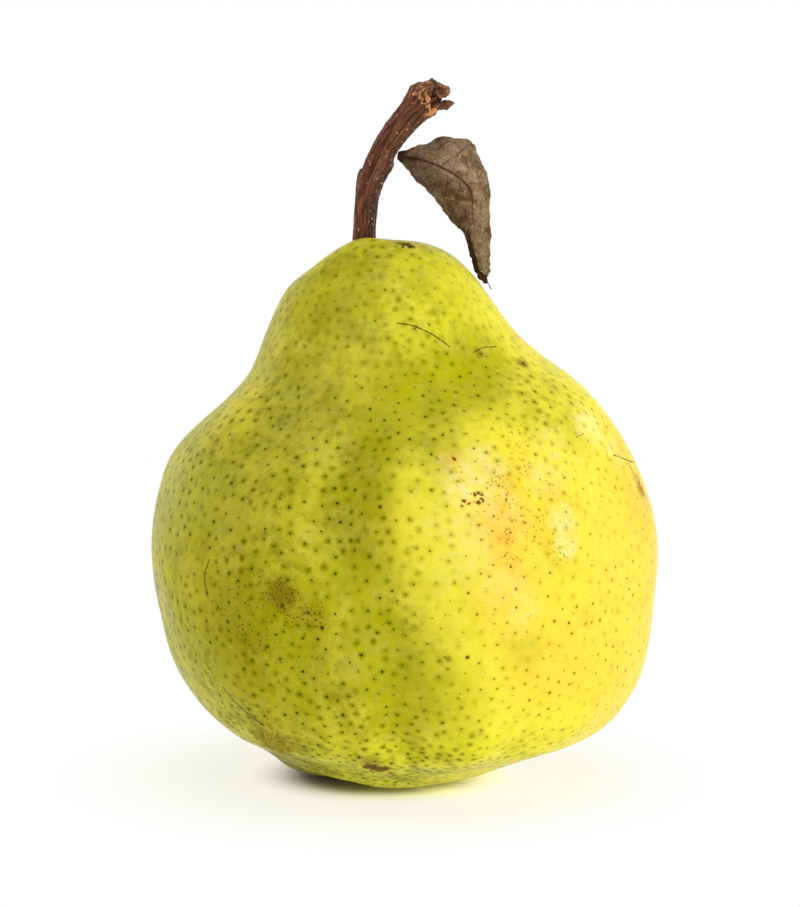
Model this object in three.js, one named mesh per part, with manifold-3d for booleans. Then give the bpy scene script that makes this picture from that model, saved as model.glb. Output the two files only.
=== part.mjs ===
// A whole pear that stands on its base, with its woody stalk and one dried leaf still on it.
// Millimetres, +Z up. The front of the fruit faces -Y and its fuller shoulder is on the +X side.
// The origin is on the resting plane, under the middle of the fruit's outline.

import * as THREE from "three";
import { mergeVertices } from "three/addons/utils/BufferGeometryUtils.js";
import Module from "manifold-3d";

// Gap between the stalk's foot and the floor of its socket.
const GAP = 0.3;

// The fruit.
const FRUIT_SEGMENTS = 72;
const BODY_ROWS = 34;
const RING_INNER = 6.8;
const RING_OUTER = 10.2;
const RING_LEAN = -3.9;
const BASIN_DEPTH = 5.2;
const BASIN_ROWS = 5;
const SOCKET_RADIUS = 2.3;
const SOCKET_FLOOR = 81.6;
const CROWN_SLOPE = 0.22;
const STALK_X = -6.3;

// The body from the resting ring to the lip of the stalk's socket: mean radius, height, and how far
// the middle of that section lies towards +X.
const BODY = [
  [RING_OUTER, 0, RING_LEAN],
  [15.2, 0.9, -3.0],
  [20.1, 3.4, -1.2],
  [27.1, 7.2, 1.2],
  [32.3, 12.2, 0.9],
  [36.1, 19.2, 0.8],
  [38.4, 28.2, 0.3],
  [39.3, 36.5, 0],
  [38.0, 44.4, -0.2],
  [34.8, 52.2, -0.3],
  [29.5, 58.4, 0.1],
  [24.8, 63.6, 0.6],
  [21.0, 68.0, -1.4],
  [18.0, 72.4, -2.6],
  [15.9, 76.4, -3.1],
  [12.8, 80.4, -2.9],
  [9.2, 83.4, -2.3],
  [6.6, 84.8, -3.2],
  [4.6, 84.9, -5.0],
  [3.1, 84.0, -6.0],
  [SOCKET_RADIUS, 83.0, STALK_X],
];

// Swellings and hollows of the skin: where round the fruit (0 is +X, -90 the front, in degrees), at
// what height, how far each reaches round and up, and how far the skin moves out.
const LUMPS = [
  { name: "right shoulder", at: -18, height: 59, round: 34, up: 8, out: 1.3 },
  { name: "left shoulder", at: -168, height: 54, round: 30, up: 8, out: 0.7 },
  { name: "front ridge", at: -78, height: 46, round: 17, up: 17, out: 1.1 },
  { name: "front groove", at: -106, height: 46, round: 13, up: 14, out: -1.3 },
  { name: "lower groove", at: -90, height: 18, round: 10, up: 12, out: -0.9 },
  { name: "hollow under the neck", at: -62, height: 66, round: 30, up: 5.5, out: -1.4 },
  { name: "left front swell", at: -138, height: 30, round: 26, up: 16, out: 1.0 },
  { name: "right lower lobe", at: -30, height: 15, round: 30, up: 9, out: 1.2 },
  { name: "right underside", at: -42, height: 4.5, round: 24, up: 4, out: -1.6 },
  { name: "back ridge", at: 66, height: 38, round: 20, up: 20, out: 1.2 },
  { name: "back groove", at: 100, height: 34, round: 13, up: 20, out: -1.1 },
  { name: "back left swell", at: 140, height: 40, round: 24, up: 14, out: 0.9 },
  { name: "back neck", at: 70, height: 72, round: 35, up: 7, out: 0.7 },
];
// Shallow lobes that run up the whole fruit: how many, how deep, and where the first stands.
const LOBES = [
  { count: 2, depth: 0.02, at: 0 },
  { count: 5, depth: 0.009, at: 12 },
];

// The stalk: where its middle runs, and its radius along it.
const STALK_PATH = [
  [STALK_X, 0, SOCKET_FLOOR + GAP],
  [-6.2, 0, 87],
  [-5.9, 0, 92],
  [-4.7, 0.1, 96.5],
  [-2.25, 0.1, 101.0],
  [0.8, 0, 104.8],
  [3.9, -0.2, 107.3],
];
const STALK_RADII = [1.9, 1.8, 1.75, 1.75, 1.85, 2.1, 2.3];
const STALK_SIDES = 28;
const STALK_STEPS = 44;
// The bark's ridges: how many round the stalk, how high as a share of its radius, and how many
// radians they wind over its length.
const STALK_RIDGES = [
  { count: 5, height: 0.07, wind: 5.4 },
  { count: 8, height: 0.04, wind: -2 },
];
// The torn wood at the stalk's end, and the spur under the leaf: root, tip and root radius of each.
const SPLINTERS = [
  { from: [-3.7, 0, 95.4], to: [-1.75, -0.1, 98.0], radius: 0.75 },
  { from: [3.2, 0.1, 108.4], to: [7.2, 0.2, 108.7], radius: 1.5 },
  { from: [3.2, -0.3, 106.8], to: [7.6, -0.3, 106.5], radius: 1.1 },
  { from: [3.0, 0.2, 108.6], to: [5.0, 0.3, 110.4], radius: 0.9 },
  { from: [3.2, 1.0, 107.4], to: [6.2, 1.4, 107.2], radius: 1.0 },
];
const SPLINTER_SIDES = 9;
const SPLINTER_TIP = 0.12;
const SPLINTER_FLATNESS = 0.7;
const SPLINTER_ROUGHNESS = 0.22;

// The leaf's blade: how its midrib and its two margins run, from its stub to its torn tail.
const LEAF_LINES = {
  lowerMargin: [
    [-0.6, -0.1, 98.4],
    [2, 0.7, 95.6],
    [5, 1.1, 91.8],
    [8, 1.5, 88],
    [10, 2.8, 84],
    [11.5, 3.8, 80],
  ],
  midrib: [
    [-0.5, -0.7, 99],
    [3.5, -1.4, 97.8],
    [7.5, -2, 95.8],
    [10.2, -1.2, 92],
    [10.8, 0.6, 87],
    [12.2, 2.4, 80],
  ],
  upperMargin: [
    [-0.4, 0, 99.6],
    [4, 0.5, 101],
    [9.5, 1, 100.6],
    [12.6, 1.5, 95.5],
    [12.8, 2, 88.5],
    [13.4, 3.2, 80],
  ],
};
const LEAF_THICKNESS = 0.32;
const LEAF_ALONG = 44;
const LEAF_ACROSS = 20;

// The dried flower in the hollow of the base: five sepals round a tuft.
const SEPAL_COUNT = 5;
const SEPAL_REACH = 2.6;
const SEPAL_DROP = 1.6;
const SEPAL_WIDTH = 2.6;
const SEPAL_TIP_WIDTH = 0.7;
const SEPAL_THICKNESS = 0.6;
const SEPAL_CURL = 1.75;
const SEPAL_CUP = 0.5;
const SEPAL_ROOT_RADIUS = 2.0;
const SEPAL_ROOT_HEIGHT = 3.5;
const SEPAL_STEPS = 8;
const TUFT_SIDES = 12;
const TUFT_RADIUS = 1.5;
const TUFT_TOP = 4.5;
const TUFT_BOTTOM = 2.4;

const DEGREE = Math.PI / 180;
const COLOURS = {
  skin: { color: "#cfc437", roughness: 0.42, metalness: 0 },
  wood: { color: "#5e3b2a", roughness: 0.7, metalness: 0 },
  blade: { color: "#74604a", roughness: 0.75, metalness: 0 },
  sepal: { color: "#3a2a1e", roughness: 0.85, metalness: 0 },
};

const wasm = await Module();
wasm.setup();

// A closed geometry as a solid that can be joined or cut.
function solidOf(geometry) {
  const bare = new THREE.BufferGeometry();
  bare.setAttribute("position", geometry.getAttribute("position"));
  bare.setIndex(geometry.getIndex());
  const merged = mergeVertices(bare, 1e-4);
  return new wasm.Manifold(
    new wasm.Mesh({
      numProp: 3,
      vertProperties: new Float32Array(merged.getAttribute("position").array),
      triVerts: new Uint32Array(merged.getIndex().array),
    }),
  );
}

// A solid as a geometry again.
function geometryOf(solid) {
  const { vertProperties, triVerts } = solid.getMesh();
  const geometry = new THREE.BufferGeometry();
  geometry.setAttribute("position", new THREE.BufferAttribute(vertProperties, 3));
  geometry.setIndex(new THREE.BufferAttribute(triVerts, 1));
  geometry.computeVertexNormals();
  return geometry;
}

// Moves every vertex of a geometry to where place() puts it.
function shaped(geometry, place) {
  const position = geometry.getAttribute("position");
  const point = new THREE.Vector3();
  for (let i = 0; i < position.count; i++) {
    place(point.fromBufferAttribute(position, i), i);
    position.setXYZ(i, point.x, point.y, point.z);
  }
  geometry.computeVertexNormals();
  return geometry;
}

function piece(name, geometry, look) {
  const mesh = new THREE.Mesh(geometry, new THREE.MeshStandardMaterial(look));
  mesh.name = name;
  return mesh;
}

// A bell that is 1 at 0 and falls away on both sides.
function bell(distance, reach) {
  return Math.exp(-((distance / reach) ** 2));
}

// The smaller angle between two directions, in degrees.
function turnBetween(a, b) {
  return Math.abs(((a - b + 540) % 360) - 180);
}

// The fruit's outline from the middle of the basin to the middle of the socket's floor, as rows of
// radius, height and lean.
function fruitRows() {
  const rows = [];
  for (let i = 0; i <= BASIN_ROWS; i++) {
    const quarterTurn = ((i / BASIN_ROWS) * Math.PI) / 2;
    rows.push([RING_INNER * Math.sin(quarterTurn), BASIN_DEPTH * Math.cos(quarterTurn), RING_LEAN]);
  }
  const curve = new THREE.CatmullRomCurve3(
    BODY.map((row) => new THREE.Vector3(...row)),
    false,
    "centripetal",
  );
  for (let i = 0; i <= BODY_ROWS; i++) {
    const [radius, height, lean] = curve.getPoint(i / BODY_ROWS).toArray();
    rows.push([radius, Math.max(0, height), lean]);
  }
  rows.push([SOCKET_RADIUS, SOCKET_FLOOR, STALK_X]);
  rows.push([0, SOCKET_FLOOR, STALK_X]);
  return rows;
}

// How far the skin stands out from the round section at a direction and height.
function swell(direction, height) {
  return LUMPS.reduce((sum, lump) => {
    const round = bell(turnBetween(direction, lump.at), lump.round);
    return sum + lump.out * round * bell(height - lump.height, lump.up);
  }, 0);
}

// The share by which the lobes widen the section in a direction.
function lobeShare(direction) {
  return LOBES.reduce(
    (sum, lobe) => sum + lobe.depth * Math.cos(lobe.count * (direction - lobe.at) * DEGREE),
    0,
  );
}

function makeFruit() {
  const rows = fruitRows();
  const outline = rows.map(([radius, height]) => new THREE.Vector2(radius, height));
  const lathe = new THREE.LatheGeometry(outline, FRUIT_SEGMENTS).rotateX(Math.PI / 2);
  return shaped(lathe, (point, index) => {
    const [radius, height, lean] = rows[index % rows.length];
    const direction = Math.atan2(point.y, point.x) / DEGREE;
    // Swellings and lobes fade out on the socket.
    const outside = THREE.MathUtils.smoothstep(radius, 4, 14);
    const body = radius * (1 + lobeShare(direction) * outside) + swell(direction, height) * outside;
    point.x = Math.cos(direction * DEGREE) * body + lean;
    point.y = Math.sin(direction * DEGREE) * body;
    // The crown falls away on the side the stalk stands on.
    const fall = Math.max(0, STALK_X - point.x) * THREE.MathUtils.smoothstep(height, 78, 84);
    point.z = height - CROWN_SLOPE * fall;
  });
}

// The radius at a share of the stalk's length.
function stalkRadius(share) {
  const place = share * (STALK_RADII.length - 1);
  const step = Math.min(Math.floor(place), STALK_RADII.length - 2);
  return THREE.MathUtils.lerp(STALK_RADII[step], STALK_RADII[step + 1], place - step);
}

function splinterSolid({ from, to, radius }) {
  const start = new THREE.Vector3(...from);
  const along = new THREE.Vector3(...to).sub(start);
  const length = along.length();
  const cone = new THREE.CylinderGeometry(SPLINTER_TIP * radius, radius, length, SPLINTER_SIDES, 4);
  cone.translate(0, length / 2, 0);
  shaped(cone, (point) => {
    const turn = Math.atan2(point.z, point.x);
    const rough = 1 + SPLINTER_ROUGHNESS * Math.sin(3 * turn + 2.3 * point.y);
    point.x *= rough;
    point.z *= SPLINTER_FLATNESS * rough;
  });
  const up = new THREE.Vector3(0, 1, 0);
  cone.applyQuaternion(new THREE.Quaternion().setFromUnitVectors(up, along.normalize()));
  cone.translate(...from);
  return solidOf(cone);
}

function makeStalk() {
  const path = new THREE.CatmullRomCurve3(STALK_PATH.map((p) => new THREE.Vector3(...p)));
  const frames = path.computeFrenetFrames(STALK_STEPS);
  const rod = new THREE.CylinderGeometry(1, 1, 1, STALK_SIDES, STALK_STEPS);
  shaped(rod, (point) => {
    const share = point.y + 0.5;
    const step = Math.round(share * STALK_STEPS);
    const turn = Math.atan2(point.z, point.x);
    // The ridges start above the socket.
    const start = THREE.MathUtils.smoothstep(share, 0.12, 0.3);
    const ridges = STALK_RIDGES.reduce(
      (sum, { count, height, wind }) => sum + height * Math.cos(count * turn + wind * share),
      0,
    );
    const size = Math.hypot(point.x, point.z) * stalkRadius(share) * (1 + start * ridges);
    path.getPointAt(share, point);
    point.addScaledVector(frames.normals[step], Math.cos(turn) * size);
    point.addScaledVector(frames.binormals[step], -Math.sin(turn) * size);
  });
  return geometryOf(SPLINTERS.reduce((sum, one) => sum.add(splinterSolid(one)), solidOf(rod)));
}

const leafCurves = Object.values(LEAF_LINES).map(
  (line) => new THREE.CatmullRomCurve3(line.map((point) => new THREE.Vector3(...point))),
);

// A point of the leaf's middle surface: along from stub to tail, across from margin to margin.
function leafPoint(along, across) {
  return new THREE.CatmullRomCurve3(leafCurves.map((curve) => curve.getPoint(along))).getPoint(across);
}

function makeLeaf() {
  // A small step along the blade and across it, to find which way its face looks.
  const nudge = 1e-3;
  const slab = new THREE.BoxGeometry(1, 1, 1, LEAF_ALONG, LEAF_ACROSS, 1);
  return shaped(slab, (point) => {
    const along = point.x + 0.5;
    const across = point.y + 0.5;
    const side = point.z * LEAF_THICKNESS;
    const [a, c] = [Math.min(along, 1 - nudge), Math.min(across, 1 - nudge)];
    const origin = leafPoint(a, c);
    const normal = leafPoint(a + nudge, c)
      .sub(origin)
      .cross(leafPoint(a, c + nudge).sub(origin))
      .normalize();
    point.copy(leafPoint(along, across)).addScaledVector(normal, side);
  });
}

function makeSepal(number) {
  const slab = new THREE.BoxGeometry(1, 1, 1, SEPAL_STEPS, 2, 1);
  const turn = ((number + 0.3) / SEPAL_COUNT) * 2 * Math.PI;
  shaped(slab, (point) => {
    const along = point.x + 0.5;
    const width = SEPAL_WIDTH * (1 - along) ** 0.6 * (0.55 + 0.6 * along) + SEPAL_TIP_WIDTH;
    const curl = SEPAL_CURL * along;
    const bend = new THREE.Vector2(SEPAL_REACH * Math.sin(curl), -SEPAL_DROP * (1 - Math.cos(curl)));
    const face = new THREE.Vector2(SEPAL_DROP * Math.sin(curl), SEPAL_REACH * Math.cos(curl));
    bend.addScaledVector(face.normalize(), point.z * SEPAL_THICKNESS);
    const cup = SEPAL_CUP * (2 * point.y) ** 2 * (1 - along);
    point.set(SEPAL_ROOT_RADIUS + bend.x, point.y * width, SEPAL_ROOT_HEIGHT + bend.y + cup);
  });
  return slab.rotateZ(turn).translate(RING_LEAN, 0, 0);
}

function makeTuft() {
  const points = [
    [0, TUFT_BOTTOM],
    [0.5 * TUFT_RADIUS, TUFT_BOTTOM + 0.1],
    [TUFT_RADIUS, TUFT_BOTTOM + 0.9],
    [0.8 * TUFT_RADIUS, TUFT_TOP],
    [0, TUFT_TOP],
  ].map(([radius, height]) => new THREE.Vector2(radius, height));
  const tuft = new THREE.LatheGeometry(points, TUFT_SIDES).rotateX(Math.PI / 2);
  return tuft.translate(RING_LEAN, 0, 0);
}

const pear = new THREE.Group();
const fruit = piece("fruit", makeFruit(), COLOURS.skin);
pear.add(fruit);
pear.add(piece("stalk", makeStalk(), COLOURS.wood));
pear.add(piece("leaf", makeLeaf(), COLOURS.blade));
for (let number = 1; number <= SEPAL_COUNT; number++) {
  pear.add(piece(`sepal_${number}`, makeSepal(number), COLOURS.sepal));
}
pear.add(piece("dried_flower", makeTuft(), COLOURS.sepal));

// The origin goes under the middle of the fruit.
const middle = new THREE.Box3().setFromObject(fruit).getCenter(new THREE.Vector3());
pear.position.set(-middle.x, -middle.y, 0);

export default pear;
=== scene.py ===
"""A whole pear with its woody stalk and one dried leaf, on a white floor in soft studio light.

Everything is in metres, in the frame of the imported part: +Z up, the front towards -Y, and the origin
on the resting plane under the middle of the fruit. Sizes written in millimetres are times MM.
"""

import math

import bpy
import numpy as np
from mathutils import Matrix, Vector
from mathutils.bvhtree import BVHTree
from mathutils.kdtree import KDTree


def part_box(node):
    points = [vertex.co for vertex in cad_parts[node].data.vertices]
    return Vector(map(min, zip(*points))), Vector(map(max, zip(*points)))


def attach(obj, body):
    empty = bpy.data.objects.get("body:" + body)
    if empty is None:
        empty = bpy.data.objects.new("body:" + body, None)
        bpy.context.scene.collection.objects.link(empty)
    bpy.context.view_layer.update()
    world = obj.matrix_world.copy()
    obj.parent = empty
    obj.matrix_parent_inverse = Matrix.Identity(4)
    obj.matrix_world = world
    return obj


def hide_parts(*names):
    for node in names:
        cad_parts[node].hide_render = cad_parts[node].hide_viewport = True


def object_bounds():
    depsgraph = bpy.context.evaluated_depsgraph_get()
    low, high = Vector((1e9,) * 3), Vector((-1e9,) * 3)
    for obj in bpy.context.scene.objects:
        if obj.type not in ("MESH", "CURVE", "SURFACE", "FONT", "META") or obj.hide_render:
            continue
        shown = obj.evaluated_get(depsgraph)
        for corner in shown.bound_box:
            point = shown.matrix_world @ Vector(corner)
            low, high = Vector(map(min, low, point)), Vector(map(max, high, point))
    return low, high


MM = 0.001
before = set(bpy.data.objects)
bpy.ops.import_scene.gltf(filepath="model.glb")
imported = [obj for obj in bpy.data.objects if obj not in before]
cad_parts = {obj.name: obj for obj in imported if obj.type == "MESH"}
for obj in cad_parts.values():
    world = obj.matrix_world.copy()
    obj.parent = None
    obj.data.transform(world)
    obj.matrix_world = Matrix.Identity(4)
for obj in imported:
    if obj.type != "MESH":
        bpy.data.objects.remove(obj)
cad_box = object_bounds()
random = np.random.default_rng(11)


# ---- numbers and noise -------------------------------------------------------------------------


def smooth(value, low, high):
    """0 at low, 1 at high, eased between them. low may be the larger."""
    share = np.clip((np.asarray(value, float) - low) / (high - low), 0, 1)
    return share * share * (3 - 2 * share)


def bell(distance, reach):
    """1 at no distance, falling away on both sides."""
    return np.exp(-((np.asarray(distance) / reach) ** 2))


def turn_between(a, b):
    """The smaller angle between two directions, in degrees."""
    return np.abs((np.asarray(a) - b + 180) % 360 - 180)


def lattice(cell, seed):
    """A fixed random number from -1 to 1 for each whole-numbered cell."""
    x, y, z = cell[..., 0], cell[..., 1], cell[..., 2]
    mixed = (x * 374761393 + y * 668265263 + z * 1440662683 + seed * 974634777) & 0xFFFFFFFF
    mixed = ((mixed ^ (mixed >> 13)) * 1274126177) & 0xFFFFFFFF
    return ((mixed ^ (mixed >> 16)) & 0xFFFF) / 32767.5 - 1


def noise(points, size, seed):
    """Smooth noise from -1 to 1 with features about size across."""
    place = np.asarray(points) / size
    cell = np.floor(place).astype(np.int64)
    ease = place - cell
    ease = ease * ease * (3 - 2 * ease)
    total = 0
    for corner in np.ndindex(2, 2, 2):
        weight = np.prod(np.where(corner, ease, 1 - ease), axis=-1)
        total = total + weight * lattice(cell + np.array(corner), seed)
    return total


def rough(points, size, seed):
    """Noise with two finer layers on it, each half the size of the last and half as strong."""
    return sum(noise(points, size / 2**n, seed + 17 * n) / 2**n for n in range(3))


def curve_through(points, count):
    """count points, evenly spaced, on a smooth curve through the given ones."""
    points = np.asarray(points, float)
    ends = np.vstack([2 * points[0] - points[1], points, 2 * points[-1] - points[-2]])
    place = np.linspace(0, len(points) - 1, count)
    step = np.minimum(place.astype(int), len(points) - 2)
    t = (place - step)[:, None]
    a, b, c, d = (ends[step + n] for n in range(4))
    bend = (2 * a - 5 * b + 4 * c - d) * t + (3 * b - a - 3 * c + d) * t * t
    return b + 0.5 * t * (c - a + bend)


# ---- meshes ------------------------------------------------------------------------------------


def make_object(name, vertices, faces):
    mesh = bpy.data.meshes.new(name)
    mesh.from_pydata(np.asarray(vertices).tolist(), [], faces)
    mesh.polygons.foreach_set("use_smooth", [True] * len(mesh.polygons))
    mesh.update()
    piece = bpy.data.objects.new(name, mesh)
    bpy.context.scene.collection.objects.link(piece)
    return piece


def tube_faces(rows, around):
    """Faces of a grid of rows that each close on themselves. A point before the first row and one
    after the last close the ends."""
    faces = []
    for row in range(rows - 1):
        for i in range(around):
            a, b = 1 + row * around + i, 1 + row * around + (i + 1) % around
            faces.append((a, b, b + around, a + around))
    last = 1 + (rows - 1) * around
    for i in range(around):
        j = (i + 1) % around
        faces.append((0, 1 + j, 1 + i))
        faces.append((last + i, last + j, last + around))
    return faces


def tube_object(name, rows):
    """A closed piece from rows of points, shaped (rows, around, 3)."""
    count, around = rows.shape[:2]
    ends = rows[0].mean(0, keepdims=True), rows[-1].mean(0, keepdims=True)
    vertices = np.vstack([ends[0], rows.reshape(-1, 3), ends[1]])
    return make_object(name, vertices, tube_faces(count, around))


def give(piece, name, values, domain="POINT"):
    """Stores a number or a vector on each point or face of a piece, for its material to read."""
    values = np.asarray(values, np.float32)
    kind, field = ("FLOAT_VECTOR", "vector") if values.ndim == 2 else ("FLOAT", "value")
    made = piece.data.attributes.new(name, kind, domain)
    made.data.foreach_set(field, values.ravel())


def places_of(items, field="co"):
    """The places of all points of a mesh, or with field "center" the middles of its faces."""
    values = np.empty(len(items) * 3)
    items.foreach_get(field, values)
    return values.reshape(-1, 3)


def surface_of(mesh):
    return BVHTree.FromPolygons([v.co for v in mesh.vertices], [p.vertices for p in mesh.polygons])


def tree_of(points):
    tree = KDTree(len(points))
    for i, point in enumerate(points):
        tree.insert(point, i)
    tree.balance()
    return tree


def join(name, parts):
    """One piece from several."""
    with bpy.context.temp_override(active_object=parts[0], selected_editable_objects=parts):
        bpy.ops.object.join()
    parts[0].name = parts[0].data.name = name
    return parts[0]


def place(piece, slot, material, *nodes):
    """Makes a piece part of the pear: it rides on the root and stands for these CAD nodes."""
    piece.data.materials.clear()
    piece.data.materials.append(material)
    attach(piece, "root")
    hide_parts(*nodes)


# ---- materials ---------------------------------------------------------------------------------


def colour(red, green, blue):
    """A linear colour from one in 0 to 255 as seen on a screen."""
    shares = (x / 255 for x in (red, green, blue))
    return (*(x / 12.92 if x <= 0.04045 else ((x + 0.055) / 1.055) ** 2.4 for x in shares), 1)


class Graph:
    """Builds the nodes of a material or of the world. Its methods return the socket of their result."""

    def __init__(self, owner):
        owner.use_nodes = True
        self.material = owner
        self.tree = owner.node_tree
        self.shader = self.tree.nodes.get("Principled BSDF")
        self.place = self.put("ShaderNodeTexCoord").outputs["Object"]

    def put(self, kind, inputs=None, **settings):
        node = self.tree.nodes.new(kind)
        for name, value in settings.items():
            setattr(node, name, value)
        for key, value in (inputs or {}).items():
            self.feed(node.inputs[key], value)
        return node

    def feed(self, socket, value):
        if isinstance(value, bpy.types.NodeSocket):
            self.tree.links.new(value, socket)
        else:
            socket.default_value = value

    def sum(self, operation, a, b, clamp=False):
        return self.put("ShaderNodeMath", {0: a, 1: b}, operation=operation, use_clamp=clamp).outputs[0]

    def times(self, a, b):
        return self.sum("MULTIPLY", a, b)

    def plus(self, a, b):
        return self.sum("ADD", a, b)

    def vector(self, operation, a, b=(0, 0, 0), scale=1.0):
        inputs = {0: a, "Scale": scale} if operation == "SCALE" else {0: a, 1: b}
        node = self.put("ShaderNodeVectorMath", inputs, operation=operation)
        return node.outputs["Value" if operation in ("LENGTH", "DISTANCE", "DOT_PRODUCT") else 0]

    def ramp(self, value, low, high, to_low=0.0, to_high=1.0):
        inputs = {"Value": value, "From Min": low, "From Max": high, "To Min": to_low, "To Max": to_high}
        node = self.put("ShaderNodeMapRange", inputs, interpolation_type="SMOOTHSTEP")
        return node.outputs["Result"]

    def mix(self, share, a, b):
        return self.put("ShaderNodeMix", {0: share, 6: a, 7: b}, data_type="RGBA").outputs[2]

    def paint(self, base, shade, cover, strength):
        """A colour with a shade over it where cover is 1, as strongly as strength says."""
        return self.mix(self.times(cover, strength), base, shade)

    def noise(self, size, detail, roughness=0.5, at=None, warp=0.0):
        """Noise from 0 to 1 with features about size across, in metres."""
        inputs = {"Scale": 1 / size, "Detail": detail, "Roughness": roughness, "Distortion": warp}
        inputs["Vector"] = self.place if at is None else at
        return self.put("ShaderNodeTexNoise", inputs).outputs["Fac"]

    def swing(self, *values):
        """The same noise, from -0.5 to 0.5."""
        return self.plus(self.noise(*values), -0.5)

    def specks(self, size, share, radius):
        """1 in small spots, one to a cell of about this size, in this share of the cells."""
        bent = self.put("ShaderNodeTexNoise", {"Vector": self.place, "Scale": 1.6 / size}).outputs["Color"]
        at = self.vector("ADD", self.place, self.vector("SCALE", bent, scale=0.8 * size))
        cells = self.put("ShaderNodeTexVoronoi", {"Vector": at, "Scale": 1 / size}).outputs
        chance = self.put("ShaderNodeSeparateColor", {0: cells["Color"]}).outputs[0]
        picked = self.ramp(self.sum("SUBTRACT", share, chance), 0.0, 0.1)
        return self.times(picked, self.ramp(cells["Distance"], radius, 0.5 * radius))

    def drawn_out(self, at, share):
        """A place that makes noise long and thin: its features are 1 / share as long along z."""
        return self.vector("MULTIPLY", at, (1, 1, share))

    def stored(self, name):
        return self.put("ShaderNodeAttribute", attribute_name=name).outputs["Fac"]

    def stored_vector(self, name):
        return self.put("ShaderNodeAttribute", attribute_name=name).outputs["Vector"]

    def bump(self, height, distance):
        inputs = {"Height": height, "Distance": distance, "Strength": 1.0}
        return self.put("ShaderNodeBump", inputs).outputs[0]

    def finish(self, base, roughness, normal, **constants):
        self.feed(self.shader.inputs["Base Color"], base)
        self.feed(self.shader.inputs["Roughness"], roughness)
        self.feed(self.shader.inputs["Normal"], normal)
        for name, value in constants.items():
            self.shader.inputs[name.replace("_", " ")].default_value = value
        return self.material


# ---- the fruit's shape -------------------------------------------------------------------------

FRUIT_AROUND = 384
FRUIT_ROWS = 248
# The rays that find the skin start this far up from the calyx towards the stalk.
CORE_SHARE = 0.45
# How many angles and how many directions a first look takes, to space the rows evenly.
COARSE_ANGLES = 181
COARSE_TURNS = 8
# How far the faceted solid is smoothed over.
FRUIT_SMOOTHING = 1.7 * MM
# The skin closes round the stalk: how far from its middle, and how deep it dips there.
SOCKET_REACH = 4.2 * MM
SOCKET_DIP = 0.9 * MM

# Swellings and hollows on top of the solid's own: a name, direction (0 is the front, 90 the right side),
# height, how far each reaches round and up, and how far the skin moves out, in degrees and mm.
LUMPS = [
    ("ridge in front", -3, 49, 7, 14, 1.0),
    ("hollow left of it", -17, 50, 7, 15, -0.9),
    ("left front swell", -31, 47, 9, 14, 0.35),
    ("left flat", -48, 44, 12, 16, -0.4),
    ("left swell", -66, 38, 10, 18, 0.35),
    ("right front flat", 17, 47, 8, 14, -0.4),
    ("right ridge", 27, 41, 6, 13, 0.4),
    ("right hollow", 34, 43, 4, 9, -0.35),
    ("right cheek", 42, 46, 6, 9, 0.45),
    ("right side hollow", 58, 40, 9, 14, -0.3),
    ("right side swell", 74, 40, 9, 16, 0.3),
    ("hollow right of the neck", 46, 68, 13, 3.6, -0.7),
    ("hollow under the neck", 24, 66.5, 12, 4.2, -1.1),
    ("hollow in front", 5, 64, 9, 4.2, -0.9),
    ("hollow towards the left", -9, 59, 8, 5, -0.6),
    ("front shoulder", 22, 59, 16, 4.5, 0.75),
    ("right shoulder", 52, 61.5, 12, 4.2, 0.5),
    ("far right shoulder", 78, 60, 16, 5.5, 0.45),
    ("hollow from the neck", -42, 61, 9, 5.5, -0.8),
    ("its lower end", -31, 55, 7, 5, -0.45),
    ("left shoulder", -66, 59, 14, 5, 0.45),
    ("neck ridge", -12, 76, 9, 8, 0.45),
    ("neck left flat", -44, 76, 14, 8, -0.3),
    ("neck dent", -30, 69, 14, 3.6, -0.4),
    ("neck bulge", 18, 78, 20, 4.5, 0.35),
    ("low ridge", -16, 30, 4, 6, 0.75),
    ("low ridge's foot", -11.5, 19, 4, 7, 0.75),
    ("low hollow", -3, 26, 5.5, 10, -0.85),
    ("low right ridge", 13, 25, 6, 12, 0.6),
    ("low left hollow", -27, 23, 7, 10, -0.5),
    ("low left ridge", -42, 18, 8, 9, 0.35),
    ("low left swell", -88, 18, 22, 8, 0.6),
    ("low right swell", 86, 14, 20, 7, 0.5),
    ("base glow", 20, 10.5, 8, 4.5, 0.9),
    ("base crease", 33, 13, 8, 6, -0.7),
    ("base right ridge", 50, 15, 9, 6, 0.5),
    ("base groove", -3, 12, 6, 6, -0.4),
    ("back dent", 160, 50, 16, 10, -0.6),
    ("back ridge", -140, 40, 12, 18, 0.5),
    ("back low ridge", 125, 26, 10, 14, 0.45),
    ("back hollow", -110, 58, 16, 7, -0.6),
]

# Swellings of the crown, which close over the foot of the stalk from the front: x, y, reach and how
# much higher, in mm.
CROWN_LIFTS = [
    (-8.0, -4.0, 5.0, 1.5),
    (-1.0, -3.5, 6.0, 0.7),
    (-13.0, -3.0, 3.5, 0.5),
]


def foot_of(name):
    """The middle of a node's lowest millimetre."""
    points = places_of(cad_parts[name].data.vertices)
    return points[points[:, 2] < points[:, 2].min() + MM].mean(0)


def direction_of(points):
    """Which way round the fruit points lie, in degrees: 0 is the front and 90 the right side."""
    return np.degrees(np.arctan2(points[..., 0], -points[..., 1]))


def smooth_round(radii, angles, reach):
    """Radii on a grid of polar angles by turns, smoothed over the same distance everywhere."""
    waves = np.fft.rfftfreq(radii.shape[1], 1 / radii.shape[1])
    across = reach / np.maximum(radii.mean(1) * np.sin(angles), 0.3 * reach)
    spectrum = np.fft.rfft(radii, axis=1) * np.exp(-0.5 * (waves * across[:, None]) ** 2)
    radii = np.fft.irfft(spectrum, radii.shape[1], axis=1)
    gaps = np.abs(angles[:, None] - angles) * radii.mean(1)[:, None]
    weights = np.exp(-0.5 * (gaps / reach) ** 2) * np.gradient(angles)
    return (weights / weights.sum(1, keepdims=True)) @ radii


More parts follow.
